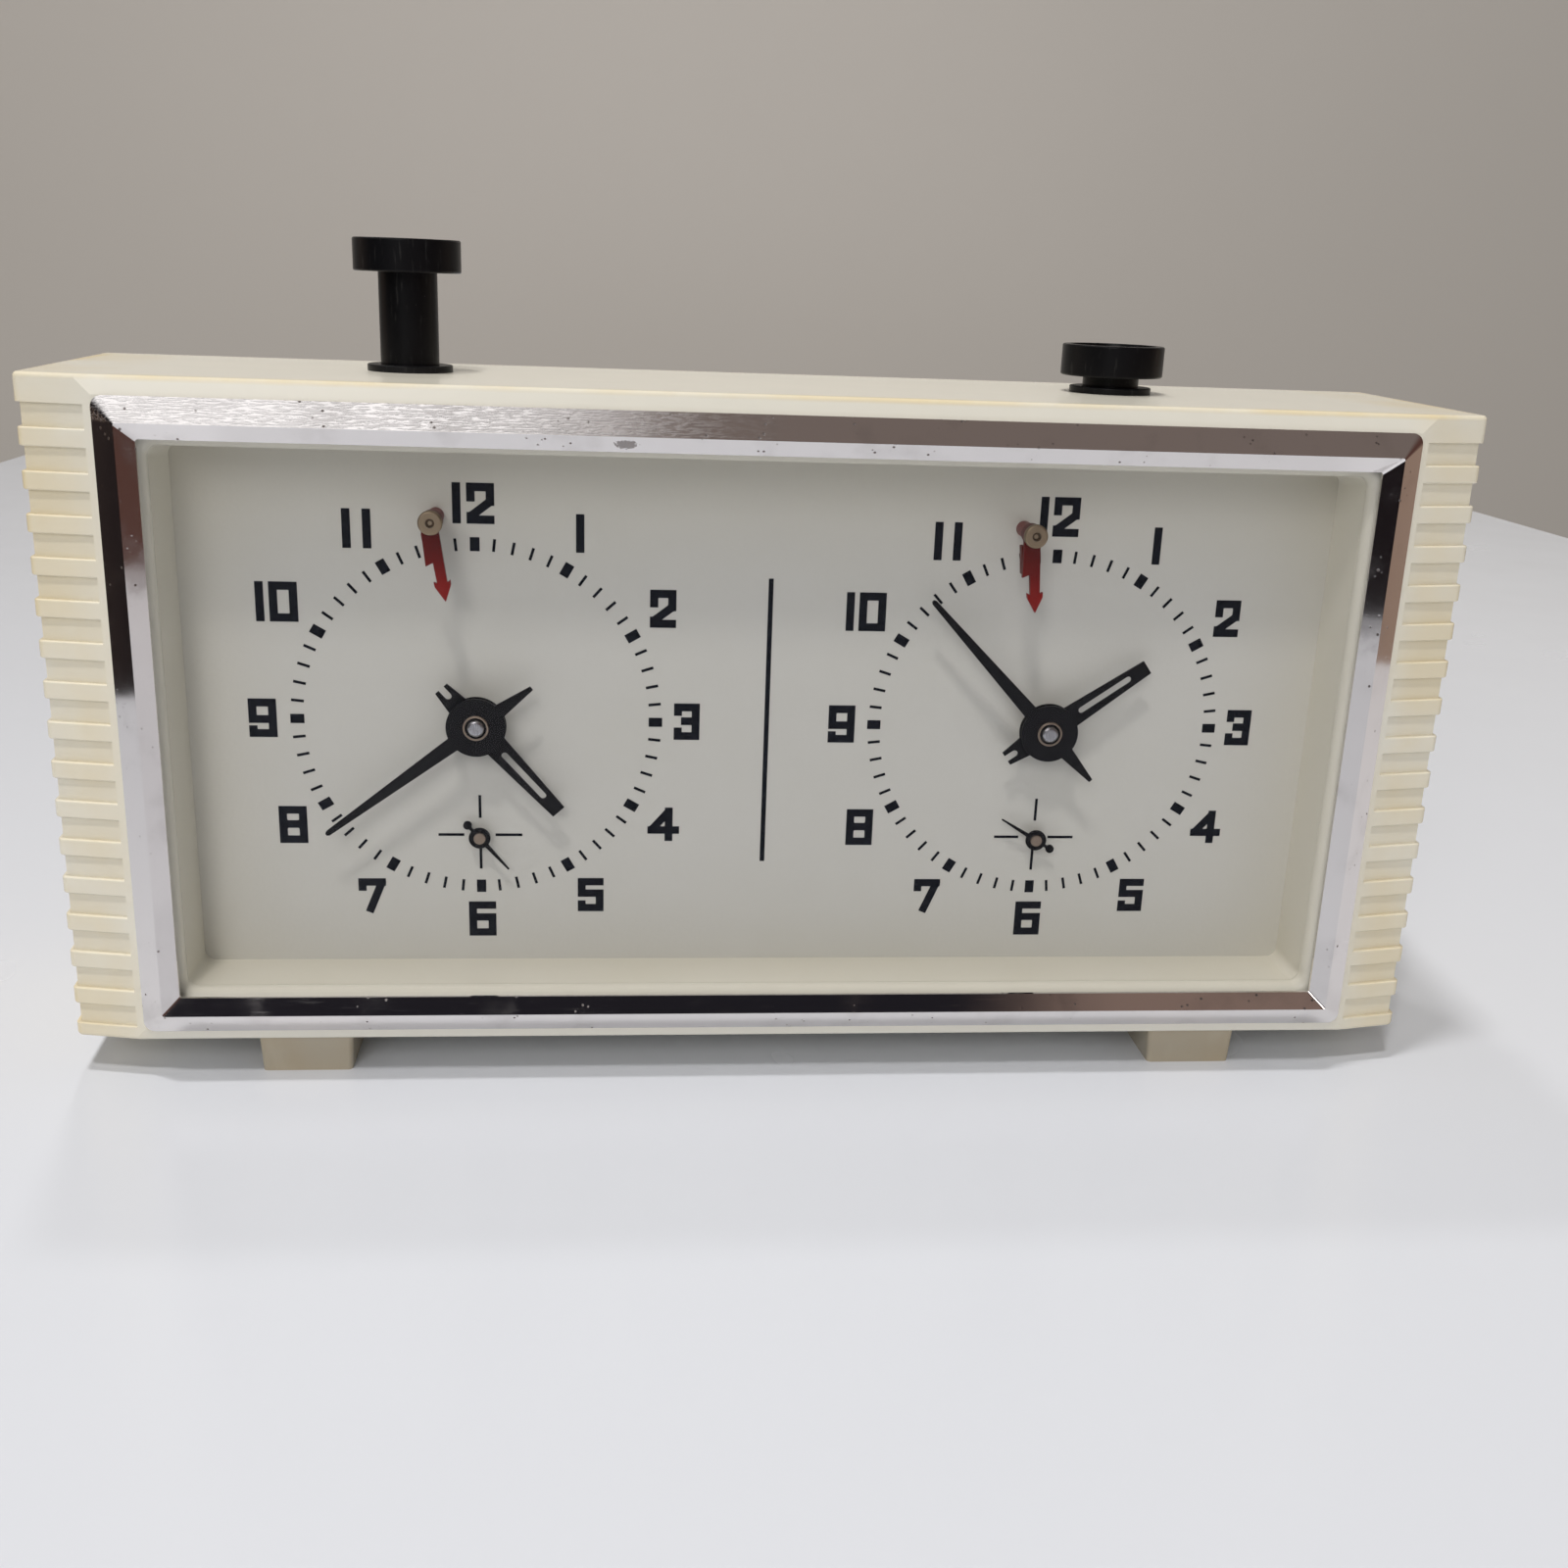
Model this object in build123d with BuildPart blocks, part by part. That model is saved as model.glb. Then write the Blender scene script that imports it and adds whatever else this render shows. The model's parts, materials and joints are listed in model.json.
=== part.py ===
from build123d import *
from math import atan2, cos, degrees, hypot, pi, radians, sin, tan
import os

# Twin-dial mechanical game clock, in millimetres.
# X runs to the right, Y from the front to the back, Z up.
# The origin is on the table, under the middle of the whole clock.

# ---------------------------------------------------------------- driving sizes
# case
case_width = 226.0          # across the front corners
case_height = 106.5
case_depth = 56.0           # front plane to the outer face of the back cover
case_flare = 2.5            # how far each side stands out at the back
wall = 2.5
front_wall = 3.5
cover_thickness = 3.0
band_slope = 0.19           # fall of the front bands for each mm outwards
edge_round = 0.7
corner_round = 1.2

# ribs on both ends of the case
rib_count = 15
rib_height = 2.82
rib_relief = 0.7
rib_top_band = 4.3
rib_bottom_band = 2.3
rib_front_margin = 1.3
rib_back_margin = 4.0
rib_round = 0.28

# feet
foot_height = 6.6
foot_width = 15.4
foot_inset = 36.9           # end of the case to the middle of a foot
foot_length = 49.0
foot_setback = 1.7
foot_draft = 0.35

# window, bezel and glass
side_band = 11.6            # case showing beside, over and under the bezel
top_band = 2.85
bottom_band = 1.95
window_lift = 1.1           # middle of the bezel above the dial centres
opening_lift = 0.65
outer_facet = 3.7
inner_facet = 2.45
ridge_height = 2.9
bezel_sheet = 0.5
bezel_corner = 1.8
lug_width = 6.0
lug_length = 5.5
lug_margin = 31.4
lug_gap = 0.3
lug_inset = 1.2
glass_thickness = 1.5
glass_seat_depth = 1.0
glass_seat_margin = 2.1
glass_gap = 0.3
opening_margin_x = 6.5      # bezel edge to window opening
opening_margin_z = 6.9
lip_round = 2.0

# dial, surround and mounting plate
dial_depth = 12.7           # front plane to the face of the dial
dial_draft = 0.6
surround_wall = 1.8
surround_flange = 2.2
surround_gap = 0.1
dial_sheet = 0.6
dial_margin = 2.5
plate_sheet = 1.5
plate_margin = 2.55
boss_radius = 4.0
boss_margin = 1.6
boss_drop = 8.5
screw_radius = 1.4
screw_gap = 0.05

# movements
movement_x = 47.67          # middle of the clock to each dial centre
motion_space = 4.9          # mounting plate to front movement plate
movement_sheet = 1.2
movement_height = 15.8      # between the two movement plates
pillar_radius = 2.2
pillar_shoulder = 3.0
pillar_neck = 1.2
nut_radius = 2.6
nut_height = 1.6
arbor_radius = 0.6
pivot_radius = 0.4
bearing_gap = 0.05

# hands
hour_angle = {"left": 138.0, "right": 54.6}
minute_angle = {"left": 233.2, "right": 316.3}
indicator_angle = {"left": 139.2, "right": 301.3}
flag_lean = {"left": 9.2, "right": 4.8}
hand_sheet = 0.4
hub_radius = 4.85
hour_hand_length = 19.8
minute_hand_length = 30.8
minute_tail = 11.3
fork_tail = 8.3
minute_blade = 2.7          # width of the minute hand where it leaves the hub
bush_radius = 2.1
bush_recess = 0.25
indicator_length = 7.3
indicator_drop = 20.0       # dial centre to the running indicator
centre_arbor_radius = 1.45
pipe_radius = 2.2
through_radius = 0.95        # centre arbor between the plates and at the knob
winding_radius = 1.6
hour_level = 3.6            # front faces of the hands, ahead of the dial
minute_level = 4.9
indicator_level = 2.0
flag_level = 7.6
pin_head_level = 8.9

# flags
flag_x = -6.0
flag_rise = 33.7
flag_length = 12.6
flag_tube = 1.7
flag_pin_radius = 0.6
flag_head_radius = 1.9

# plungers and rocker
plunger_x = 59.2
plunger_depth = 30.8        # front plane to the plunger axes
plunger_travel = 12.8
stem_radius = 4.73
cap_radius = 8.61
cap_thickness = 5.15
cap_rim = 1.3
cap_dish = 1.0
collar_radius = 6.9
collar_flange = 1.1
collar_barrel = 5.9
collar_to_pad = 3.1
cap_clearance = 1.7         # pressed cap to collar
rocker_rise = 37.3          # dial centres to rocker pivot
rocker_sheet = 1.6
rocker_pad_width = 9.0
rocker_pad_length = 10.0
rocker_hub = 4.2
rocker_journal = 2.0
rest_gap = 0.3

# keys, knobs and regulators on the back
key_reach = 14.0
key_hub_radius = 3.4
key_hub_length = 7.0
key_wing_span = 24.0
key_wing_thickness = 1.6
knob_radius = 5.5
knob_length = 6.5
knob_grooves = 20
knob_standoff = 0.8
regulator_arm = 9.0
regulator_travel = 15.0

# ---------------------------------------------------------------- derived places
total_depth = ridge_height + case_depth + key_reach
front_y = ridge_height - total_depth / 2
back_y = front_y + case_depth
shell_back_y = back_y - cover_thickness
cavity_y = front_y + front_wall
seat_y = front_y + glass_seat_depth
dial_y = front_y + dial_depth
plate_y = dial_y + dial_sheet
plate_back_y = plate_y + plate_sheet
front_plate_y = plate_back_y + motion_space
train_y = front_plate_y + movement_sheet
back_plate_y = train_y + movement_height
rear_y = back_plate_y + movement_sheet
plunger_y = front_y + plunger_depth

case_bottom = foot_height
case_top = case_bottom + case_height
bezel_width = case_width - 2 * side_band
bezel_height = case_height - top_band - bottom_band
window_z = case_bottom + bottom_band + bezel_height / 2
dial_z = window_z - window_lift
opening_z = dial_z + opening_lift
opening_width = bezel_width - 2 * opening_margin_x
opening_height = bezel_height - 2 * opening_margin_z
pivot_z = dial_z + rocker_rise

half_width = case_width / 2
half_back = half_width + case_flare
flare_slope = case_flare / (case_depth - (half_width - bezel_width / 2) * band_slope)
corner_y = front_y + (half_width - bezel_width / 2) * band_slope
half_rear = half_width + flare_slope * (shell_back_y - corner_y)
bezel_top = window_z + bezel_height / 2
bezel_bottom = window_z - bezel_height / 2
lip_height = glass_thickness - glass_seat_depth + bezel_sheet
seat_width = bezel_width - 2 * glass_seat_margin
seat_height = bezel_height - 2 * glass_seat_margin
rocker_angle = degrees(plunger_travel / 2 / plunger_x)
foot_centre_x = half_width - foot_inset
lug_x = bezel_width / 2 - lug_margin
boss_x = bezel_width / 2 + boss_margin
plate_width = 2 * (boss_x + boss_radius)
plate_height = opening_height + 2 * plate_margin
boss_rise = plate_height / 2 - boss_drop
rib_pitch = (case_height - rib_top_band - rib_bottom_band + rib_height) / (rib_count + 1)
collar_depth = case_top - wall - pivot_z - plunger_x * sin(radians(rocker_angle)) - collar_to_pad

os.makedirs("parts", exist_ok=True)


def facing(y):
    """Plane at depth y, seen from the front: its x is X, its y is Z, and it extrudes forwards."""
    return Plane.XZ.offset(-y)


def dial_plane(x, y, z, angle):
    """Facing plane at a point, turned so that its y points at a clock angle from twelve."""
    turn = radians(angle)
    return Plane(origin=(x, y, z), x_dir=(cos(turn), 0, -sin(turn)), z_dir=(0, -1, 0))


def bar(x, z, radius, y_front, y_back, mode=Mode.ADD):
    """Round bar or hole along Y, between two depths."""
    with Locations((x, (y_front + y_back) / 2, z)):
        Cylinder(radius, y_back - y_front, rotation=(90, 0, 0), mode=mode)


def save(piece, name):
    """Label a finished piece and write it under its own name."""
    piece.part.label = name
    export_step(piece.part, f"parts/{name}.step")


def place(side_sign, across, up):
    """X and Z of a movement point, given from its dial centre; across is towards the middle."""
    return side_sign * (movement_x - across), dial_z + up


# ---------------------------------------------------------------- case shell
channel_top = case_top - rib_top_band
groove_height = rib_pitch - rib_height
channel_bottom = channel_top - rib_count * rib_pitch - groove_height
rib_start_x = bezel_width / 2 + rib_front_margin
rib_end_y = shell_back_y - rib_back_margin


def band_y(x):
    """Depth of the sloping front band at a distance x from the middle."""
    return front_y + (x - bezel_width / 2) * band_slope


def side_x(y):
    """Half width of the case at a depth y."""
    return half_width + flare_slope * (y - corner_y)


def rib_section(inset, outset):
    """Plan points of the skin on the right-hand end, between two offsets from its surface."""
    return [
        (rib_start_x, band_y(rib_start_x) + inset),
        (half_width - inset, corner_y + inset),
        (side_x(rib_end_y) - inset, rib_end_y),
        (side_x(rib_end_y) + outset, rib_end_y),
        (half_width + outset, corner_y - outset),
        (rib_start_x, band_y(rib_start_x) - outset),
    ]


with BuildPart() as rib:
    with BuildSketch(Plane.XY):
        with BuildLine():
            Polyline(*rib_section(rib_relief + rib_round, 0.0), close=True)
        make_face()
    extrude(amount=rib_height)
    fillet(rib.edges().filter_by(Axis.Z).filter_by(
        lambda e: hypot(e.center().X - half_width, e.center().Y - corner_y) < 0.1), corner_round)
    skin = rib.faces().filter_by(
        lambda f: abs(f.normal_at().Z) < 0.01 and f.center().X - side_x(f.center().Y) > -0.6
        or abs(f.normal_at().Z) < 0.01 and f.center().Y < band_y(f.center().X) + 0.3
    )
    rims = [e for f in skin for e in f.edges() if abs(e.tangent_at(0.5).Z) < 0.01]
    fillet(rims, rib_round)

left_rib = mirror(rib.part, about=Plane.YZ, mode=Mode.PRIVATE)
rib_levels = [
    channel_top - groove_height - rib_height - step * rib_pitch for step in range(rib_count)
]

with BuildPart() as front_case:
    with BuildSketch(Plane.XY.offset(case_bottom)):
        with BuildLine():
            Polyline(
                (-bezel_width / 2, front_y),
                (bezel_width / 2, front_y),
                (half_width, corner_y),
                (half_rear, shell_back_y),
                (-half_rear, shell_back_y),
                (-half_width, corner_y),
                close=True,
            )
        make_face()
    extrude(amount=case_height)
    with BuildSketch(Plane.YZ):
        with BuildLine():
            Polyline(
                (front_y, bezel_bottom),
                (front_y, bezel_top),
                (front_y + (case_top - bezel_top) * band_slope, case_top),
                (shell_back_y, case_top),
                (shell_back_y, case_bottom),
                (front_y + (bezel_bottom - case_bottom) * band_slope, case_bottom),
                close=True,
            )
        make_face()
    extrude(amount=case_width, both=True, mode=Mode.INTERSECT)
    fillet(front_case.edges().filter_by(Axis.Z).filter_by(
        lambda e: hypot(abs(e.center().X) - half_width, e.center().Y - corner_y) < 0.1), corner_round)
    rim_edges = front_case.edges().filter_by(
        lambda e: e.center().Y < shell_back_y - 0.5
        and (abs(e.center().Z - case_top) < 0.01 or abs(e.center().Z - case_bottom) < 0.01)
    )
    fillet(rim_edges, edge_round)
    # ribbed ends: a shallow channel, filled again by separate ribs
    for side in (1, -1):
        with BuildSketch(Plane.XY.offset(channel_bottom)):
            with BuildLine():
                Polyline(*[(side * x, y) for x, y in rib_section(rib_relief, 2.0)], close=True)
            make_face()
        extrude(amount=channel_top - channel_bottom, mode=Mode.SUBTRACT)
    with Locations(*[(0, 0, level) for level in rib_levels]):
        add(rib.part)
        add(left_rib)
    # hollow inside
    with BuildSketch(Plane.XY.offset(case_bottom + wall)):
        with BuildLine():
            Polyline(
                (-side_x(cavity_y) + wall, cavity_y),
                (side_x(cavity_y) - wall, cavity_y),
                (half_rear - wall, shell_back_y),
                (-half_rear + wall, shell_back_y),
                close=True,
            )
        make_face()
    extrude(amount=case_height - 2 * wall, mode=Mode.SUBTRACT)
    # glass seat and window opening, with a rounded lip
    with BuildSketch(facing(seat_y)):
        with Locations((0, window_z)):
            RectangleRounded(seat_width, seat_height, bezel_corner)
    extrude(amount=2 * glass_seat_depth, mode=Mode.SUBTRACT)
    with BuildSketch(facing(cavity_y)):
        with Locations((0, opening_z)):
            RectangleRounded(opening_width, opening_height, bezel_corner)
    extrude(amount=front_wall, mode=Mode.SUBTRACT)
    lip_edges = front_case.edges().filter_by(
        lambda e: abs(e.center().Y - seat_y) < 0.01
        and abs(e.center().X) < opening_width / 2 + 0.01
        and abs(e.center().Z - opening_z) < opening_height / 2 + 0.01
    )
    fillet(lip_edges, lip_round)
    # slots for the lugs of the bezel
    for z in (bezel_top - lug_inset, bezel_bottom + lug_inset):
        for x in (-lug_x, 0, lug_x):
            with Locations((x, (front_y + cavity_y) / 2, z)):
                Box(lug_width + 2 * lug_gap, front_wall + 1, bezel_sheet + lug_gap, mode=Mode.SUBTRACT)
    # bosses for the mounting plate and for the back cover
    for x in (-boss_x, boss_x):
        for z in (dial_z - boss_rise, dial_z, dial_z + boss_rise):
            bar(x, z, boss_radius, cavity_y - 1, plate_y)
    cover_boss_x = half_rear - wall - boss_radius * 0.75
    cover_boss_z = (case_bottom + wall + boss_radius * 0.75, case_top - wall - boss_radius * 0.75)
    for x in (-cover_boss_x, cover_boss_x):
        for z in cover_boss_z:
            bar(x, z, boss_radius, shell_back_y - 16, shell_back_y)
            bar(x, z, screw_radius + screw_gap, shell_back_y - 12, shell_back_y, Mode.SUBTRACT)
    for x in (-boss_x, boss_x):
        for z in (dial_z - boss_rise, dial_z, dial_z + boss_rise):
            bar(x, z, screw_radius + screw_gap, plate_y - 7, plate_y, Mode.SUBTRACT)
    # guide holes for the plunger collars
    for x in (-plunger_x, plunger_x):
        with Locations((x, plunger_y, case_top - wall / 2)):
            Cylinder(collar_barrel + bearing_gap, wall + 2, mode=Mode.SUBTRACT)
save(front_case, "front_case")

# ---------------------------------------------------------------- feet
with BuildPart() as feet:
    for x in (-foot_centre_x, foot_centre_x):
        with BuildSketch(Plane.XY.offset(case_bottom)):
            with Locations((x, front_y + foot_setback + foot_length / 2)):
                Rectangle(foot_width, foot_length)
        extrude(amount=-foot_height, taper=degrees(atan2(foot_draft, foot_height)))
    lower_rims = feet.edges().filter_by(lambda e: e.center().Z < foot_height - 0.1)
    fillet(lower_rims.filter_by(lambda e: abs(e.tangent_at(0.5).Z) > 0.5), 0.8)
save(feet, "feet")

# ---------------------------------------------------------------- back cover
knob_hole = 3.2
key_hole = 4.4
slot_length = 2 * regulator_arm * sin(radians(regulator_travel)) + 3.0
slot_height = 3.0

# train layout: wheel teeth, leaves and modules, then arbor places from the dial centre
great_teeth, great_module = 72, 0.55
centre_leaves = 12
centre_teeth, centre_module = 60, 0.48
third_leaves = 8
third_teeth, third_module = 64, 0.40
fourth_leaves = 8
fourth_teeth, fourth_module = 56, 0.32
escape_leaves = 8
escape_teeth = 15
escape_radius = 6.0
cannon_leaves, cannon_module = 12, 0.36
minute_teeth = 36
minute_leaves = 10
hour_teeth = 40
mesh_gap = 0.04

barrel_reach = (great_teeth + centre_leaves) * great_module / 2 + mesh_gap
third_reach = (centre_teeth + third_leaves) * centre_module / 2 + mesh_gap
fourth_reach = (third_teeth + fourth_leaves) * third_module / 2 + mesh_gap
escape_reach = (fourth_teeth + escape_leaves) * fourth_module / 2 + mesh_gap
motion_reach = (cannon_leaves + minute_teeth) * cannon_module / 2 + mesh_gap
hour_module = 2 * (motion_reach - mesh_gap) / (minute_leaves + hour_teeth)
pallet_reach = 8.2
balance_reach = 10.8
balance_radius = 8.5

barrel_at = (barrel_reach * cos(radians(20)), barrel_reach * sin(radians(20)))
third_up = (fourth_reach**2 - third_reach**2 - indicator_drop**2) / (2 * indicator_drop)
third_at = (-((third_reach**2 - third_up**2) ** 0.5), third_up)
fourth_at = (0.0, -indicator_drop)
escape_at = (escape_reach * cos(radians(30)), escape_reach * sin(radians(30)) - indicator_drop)
pallet_at = (
    escape_at[0] + pallet_reach * cos(radians(-5)),
    escape_at[1] + pallet_reach * sin(radians(-5)),
)
balance_at = (
    pallet_at[0] + balance_reach * cos(radians(-12)),
    pallet_at[1] + balance_reach * sin(radians(-12)),
)
motion_at = (motion_reach * cos(radians(125)), motion_reach * sin(radians(125)))
pillar_places = ((-27.0, 24.5), (-27.0, -28.0), (37.2, 25.0), (36.5, -28.5))
sides = (("left", -1), ("right", 1))

with BuildPart() as back_cover:
    with BuildSketch(facing(back_y)):
        with Locations((0, (case_bottom + case_top) / 2)):
            Rectangle(2 * half_back, case_height)
    extrude(amount=cover_thickness)
    fillet(back_cover.edges().filter_by(Axis.Y), edge_round)
    fillet(back_cover.faces().sort_by(Axis.Y)[-1].edges(), edge_round)
    # locating rim inside the case walls
    with BuildSketch(facing(shell_back_y)):
        with Locations((0, (case_bottom + case_top) / 2)):
            Rectangle(2 * (half_rear - wall) - 1.0, case_height - 2 * wall - 0.6)
            Rectangle(2 * (half_rear - wall) - 4.4, case_height - 2 * wall - 4.0, mode=Mode.SUBTRACT)
    extrude(amount=3.0)
    for x in (-cover_boss_x, cover_boss_x):
        for z in cover_boss_z:
            bar(x, z, boss_radius + 0.4, shell_back_y - 4, shell_back_y, Mode.SUBTRACT)
            bar(x, z, screw_radius + 0.2, shell_back_y - 1, back_y + 1, Mode.SUBTRACT)
            bar(x, z, 3.4, back_y - 1.8, back_y + 1, Mode.SUBTRACT)
    for side, sign in sides:
        bar(*place(sign, 0, 0), knob_hole, shell_back_y - 1, back_y + 1, Mode.SUBTRACT)
        bar(*place(sign, *barrel_at), key_hole, shell_back_y - 1, back_y + 1, Mode.SUBTRACT)
        slot_x, slot_z = place(sign, *balance_at)
        with Locations((slot_x, back_y - cover_thickness / 2, slot_z - regulator_arm)):
            Box(slot_length, cover_thickness + 2, slot_height, mode=Mode.SUBTRACT)
save(back_cover, "back_cover")

# ---------------------------------------------------------------- bezel, glass and surround


def window_frame(y, width, height, radius, level=window_z):
    """Rounded rectangle of the window at one depth."""
    with BuildSketch(facing(y)) as frame:
        with Locations((0, level)):
            RectangleRounded(width, height, radius)
    return frame.sketch.faces()[0]


def bezel_ring(inset, height, radius):
    """Outline of the bezel, drawn in from its edge and raised from the front plane."""
    return window_frame(front_y - height, bezel_width - 2 * inset, bezel_height - 2 * inset, radius)


facet_edge = 0.4
ridge_inset = outer_facet
inner_inset = outer_facet + inner_facet
with BuildPart() as bezel_hollow:
    loft([
        bezel_ring(2 * bezel_sheet, 0, bezel_corner * 0.6),
        bezel_ring(ridge_inset, ridge_height - 1.2 * bezel_sheet, 0.4),
    ])
    loft([
        bezel_ring(inner_inset, lip_height - bezel_sheet, 0.4),
        bezel_ring(ridge_inset, ridge_height - 1.2 * bezel_sheet, 0.4),
    ], mode=Mode.SUBTRACT)
    extrude(bezel_ring(inner_inset, lip_height - bezel_sheet, 0.4), amount=-ridge_height,
            mode=Mode.SUBTRACT)

with BuildPart() as bezel:
    extrude(bezel_ring(0, 0, bezel_corner), amount=facet_edge)
    loft([bezel_ring(0, facet_edge, bezel_corner), bezel_ring(ridge_inset, ridge_height, 0.4)])
    loft([
        bezel_ring(inner_inset, lip_height, 0.4),
        bezel_ring(ridge_inset, ridge_height, 0.4),
    ], mode=Mode.SUBTRACT)
    extrude(bezel_ring(inner_inset, lip_height, 0.4), amount=-2 * ridge_height, mode=Mode.SUBTRACT)
    add(bezel_hollow.part, mode=Mode.SUBTRACT)
    for z in (bezel_top - lug_inset, bezel_bottom + lug_inset):
        for x in (-lug_x, 0, lug_x):
            with Locations((x, front_y + lug_length / 2 - bezel_sheet / 2, z)):
                Box(lug_width, lug_length + bezel_sheet, bezel_sheet)
save(bezel, "bezel")

with BuildPart() as glass:
    with BuildSketch(facing(seat_y)):
        with Locations((0, window_z)):
            RectangleRounded(seat_width - 2 * glass_gap, seat_height - 2 * glass_gap, bezel_corner)
    extrude(amount=glass_thickness)
save(glass, "glass")

surround_width = opening_width + 2 * surround_wall
surround_height = opening_height + 2 * surround_wall
surround_front_y = cavity_y + surround_gap
with BuildPart() as dial_surround:
    with BuildSketch(facing(dial_y)):
        with Locations((0, opening_z)):
            RectangleRounded(surround_width, surround_height, bezel_corner + surround_wall)
    extrude(amount=dial_y - surround_front_y)
    with BuildSketch(facing(dial_y)):
        with Locations((0, opening_z)):
            Rectangle(surround_width + 2 * surround_flange, surround_height + 2 * surround_flange)
    extrude(amount=1.2)
    loft([
        window_frame(dial_y, opening_width - 2 * dial_draft, opening_height - 2 * dial_draft,
                     bezel_corner, opening_z),
        window_frame(surround_front_y, opening_width, opening_height, bezel_corner, opening_z),
    ], mode=Mode.SUBTRACT)
save(dial_surround, "dial_surround")

# ---------------------------------------------------------------- dial and mounting plate
hour_hole = pipe_radius + 0.5
indicator_hole = 1.1
with BuildPart() as dial_plate:
    with BuildSketch(facing(plate_y)):
        with Locations((0, opening_z)):
            RectangleRounded(surround_width + dial_margin, surround_height + dial_margin, 2)
    extrude(amount=dial_sheet)
    for side, sign in sides:
        bar(*place(sign, 0, 0), hour_hole, dial_y - 1, plate_y + 1, Mode.SUBTRACT)
        bar(*place(sign, *fourth_at), indicator_hole, dial_y - 1, plate_y + 1, Mode.SUBTRACT)
        bar(sign * movement_x + flag_x, dial_z + flag_rise, flag_pin_radius + bearing_gap,
            dial_y - 1, plate_y + 1, Mode.SUBTRACT)
save(dial_plate, "dial_plate")

rocker_seat_y = plunger_y - rocker_sheet / 2 - 4.0
stop_reach = 14.0
stop_drop = rocker_hub + stop_reach * tan(radians(rocker_angle)) + 0.9
with BuildPart() as mounting_plate:
    with BuildSketch(facing(plate_back_y)):
        with Locations((0, opening_z)):
            RectangleRounded(plate_width, plate_height, 3)
    extrude(amount=plate_sheet)
    for side, sign in sides:
        bar(*place(sign, 0, 0), hour_hole, plate_y - 1, plate_back_y + 1, Mode.SUBTRACT)
        bar(*place(sign, *fourth_at), indicator_hole, plate_y - 1, plate_back_y + 1, Mode.SUBTRACT)
        bar(sign * movement_x + flag_x, dial_z + flag_rise, flag_pin_radius + bearing_gap,
            plate_y - 1, plate_back_y + 1, Mode.SUBTRACT)
    for x in (-boss_x, boss_x):
        for z in (dial_z - boss_rise, dial_z, dial_z + boss_rise):
            bar(x, z, screw_radius + 0.2, plate_y - 1, plate_back_y + 1, Mode.SUBTRACT)
    # riveted post that carries the rocker, and the two lugs that stop it
    bar(0, pivot_z, rocker_hub, plate_back_y, rocker_seat_y)
    bar(0, pivot_z, screw_radius, plate_back_y, rocker_seat_y, Mode.SUBTRACT)
    for x in (-stop_reach, stop_reach):
        with Locations((x, (plate_back_y + plunger_y + 1.5) / 2, pivot_z - stop_drop - 0.75)):
            Box(4.0, plunger_y + 1.5 - plate_back_y, 1.5)
save(mounting_plate, "mounting_plate")

with BuildPart() as screws:
    for x in (-boss_x, boss_x):
        for z in (dial_z - boss_rise, dial_z, dial_z + boss_rise):
            bar(x, z, 2.8, plate_back_y, plate_back_y + 1.8)
            bar(x, z, screw_radius, plate_y - 6.5, plate_back_y)
            with Locations((x, plate_back_y + 1.8, z)):
                Box(4.6, 1.0, 0.7, mode=Mode.SUBTRACT)
    for x in (-cover_boss_x, cover_boss_x):
        for z in cover_boss_z:
            bar(x, z, 3.1, back_y - 1.8, back_y - 0.1)
            bar(x, z, screw_radius, shell_back_y - 11, back_y - 1.8)
            with Locations((x, back_y - 0.1, z)):
                Box(5.0, 1.2, 0.8, mode=Mode.SUBTRACT)
save(screws, "screws")

# ---------------------------------------------------------------- plungers, collars, rocker
up_cap_z = case_top + collar_flange + cap_clearance + plunger_travel
pad_up_z = pivot_z + plunger_x * sin(radians(rocker_angle))
stem_length = up_cap_z - pad_up_z - rest_gap
stem_tip = 0.8
for side, sign in sides:
    drop = plunger_travel if side == "right" else 0.0
    cap_z = up_cap_z - drop
    with BuildPart() as plunger:
        with BuildSketch(Plane.XZ.offset(-plunger_y)):
            with BuildLine():
                low = cap_z - stem_length
                Polyline(
                    (sign * plunger_x, low),
                    (sign * plunger_x + stem_radius * 0.45, low + stem_tip * 0.12),
                    (sign * plunger_x + stem_radius, low + stem_tip),
                    (sign * plunger_x + stem_radius, cap_z),
                    (sign * plunger_x + cap_radius, cap_z),
                    (sign * plunger_x + cap_radius, cap_z + cap_thickness),
                    (sign * plunger_x + cap_radius - cap_rim, cap_z + cap_thickness),
                    (sign * plunger_x + cap_radius - cap_rim - 0.3, cap_z + cap_thickness - cap_dish),
                    (sign * plunger_x, cap_z + cap_thickness - cap_dish - 0.2),
                    close=True,
                )
            make_face()
        revolve(axis=Axis((sign * plunger_x, plunger_y, 0), (0, 0, 1)))
        rims = plunger.edges().filter_by(GeomType.CIRCLE).filter_by(
            lambda e: abs(e.radius - cap_radius) < 0.01)
        fillet(rims, 0.3)
    save(plunger, f"plunger_{side}")

with BuildPart() as plunger_collars:
    for side, sign in sides:
        with Locations((sign * plunger_x, plunger_y, case_top + collar_flange / 2)):
            Cylinder(collar_radius, collar_flange)
        with Locations((sign * plunger_x, plunger_y, case_top - (wall + collar_depth) / 2)):
            Cylinder(collar_barrel, wall + collar_depth)
        with Locations((sign * plunger_x, plunger_y, case_top - 5)):
            Cylinder(stem_radius + bearing_gap, 40, mode=Mode.SUBTRACT)
    collar_rims = plunger_collars.edges().filter_by(
        lambda e: abs(e.center().Z - case_top - collar_flange) < 0.01 and e.radius > stem_radius + 1)
    fillet(collar_rims, 0.25)
save(plunger_collars, "plunger_collars")

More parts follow.
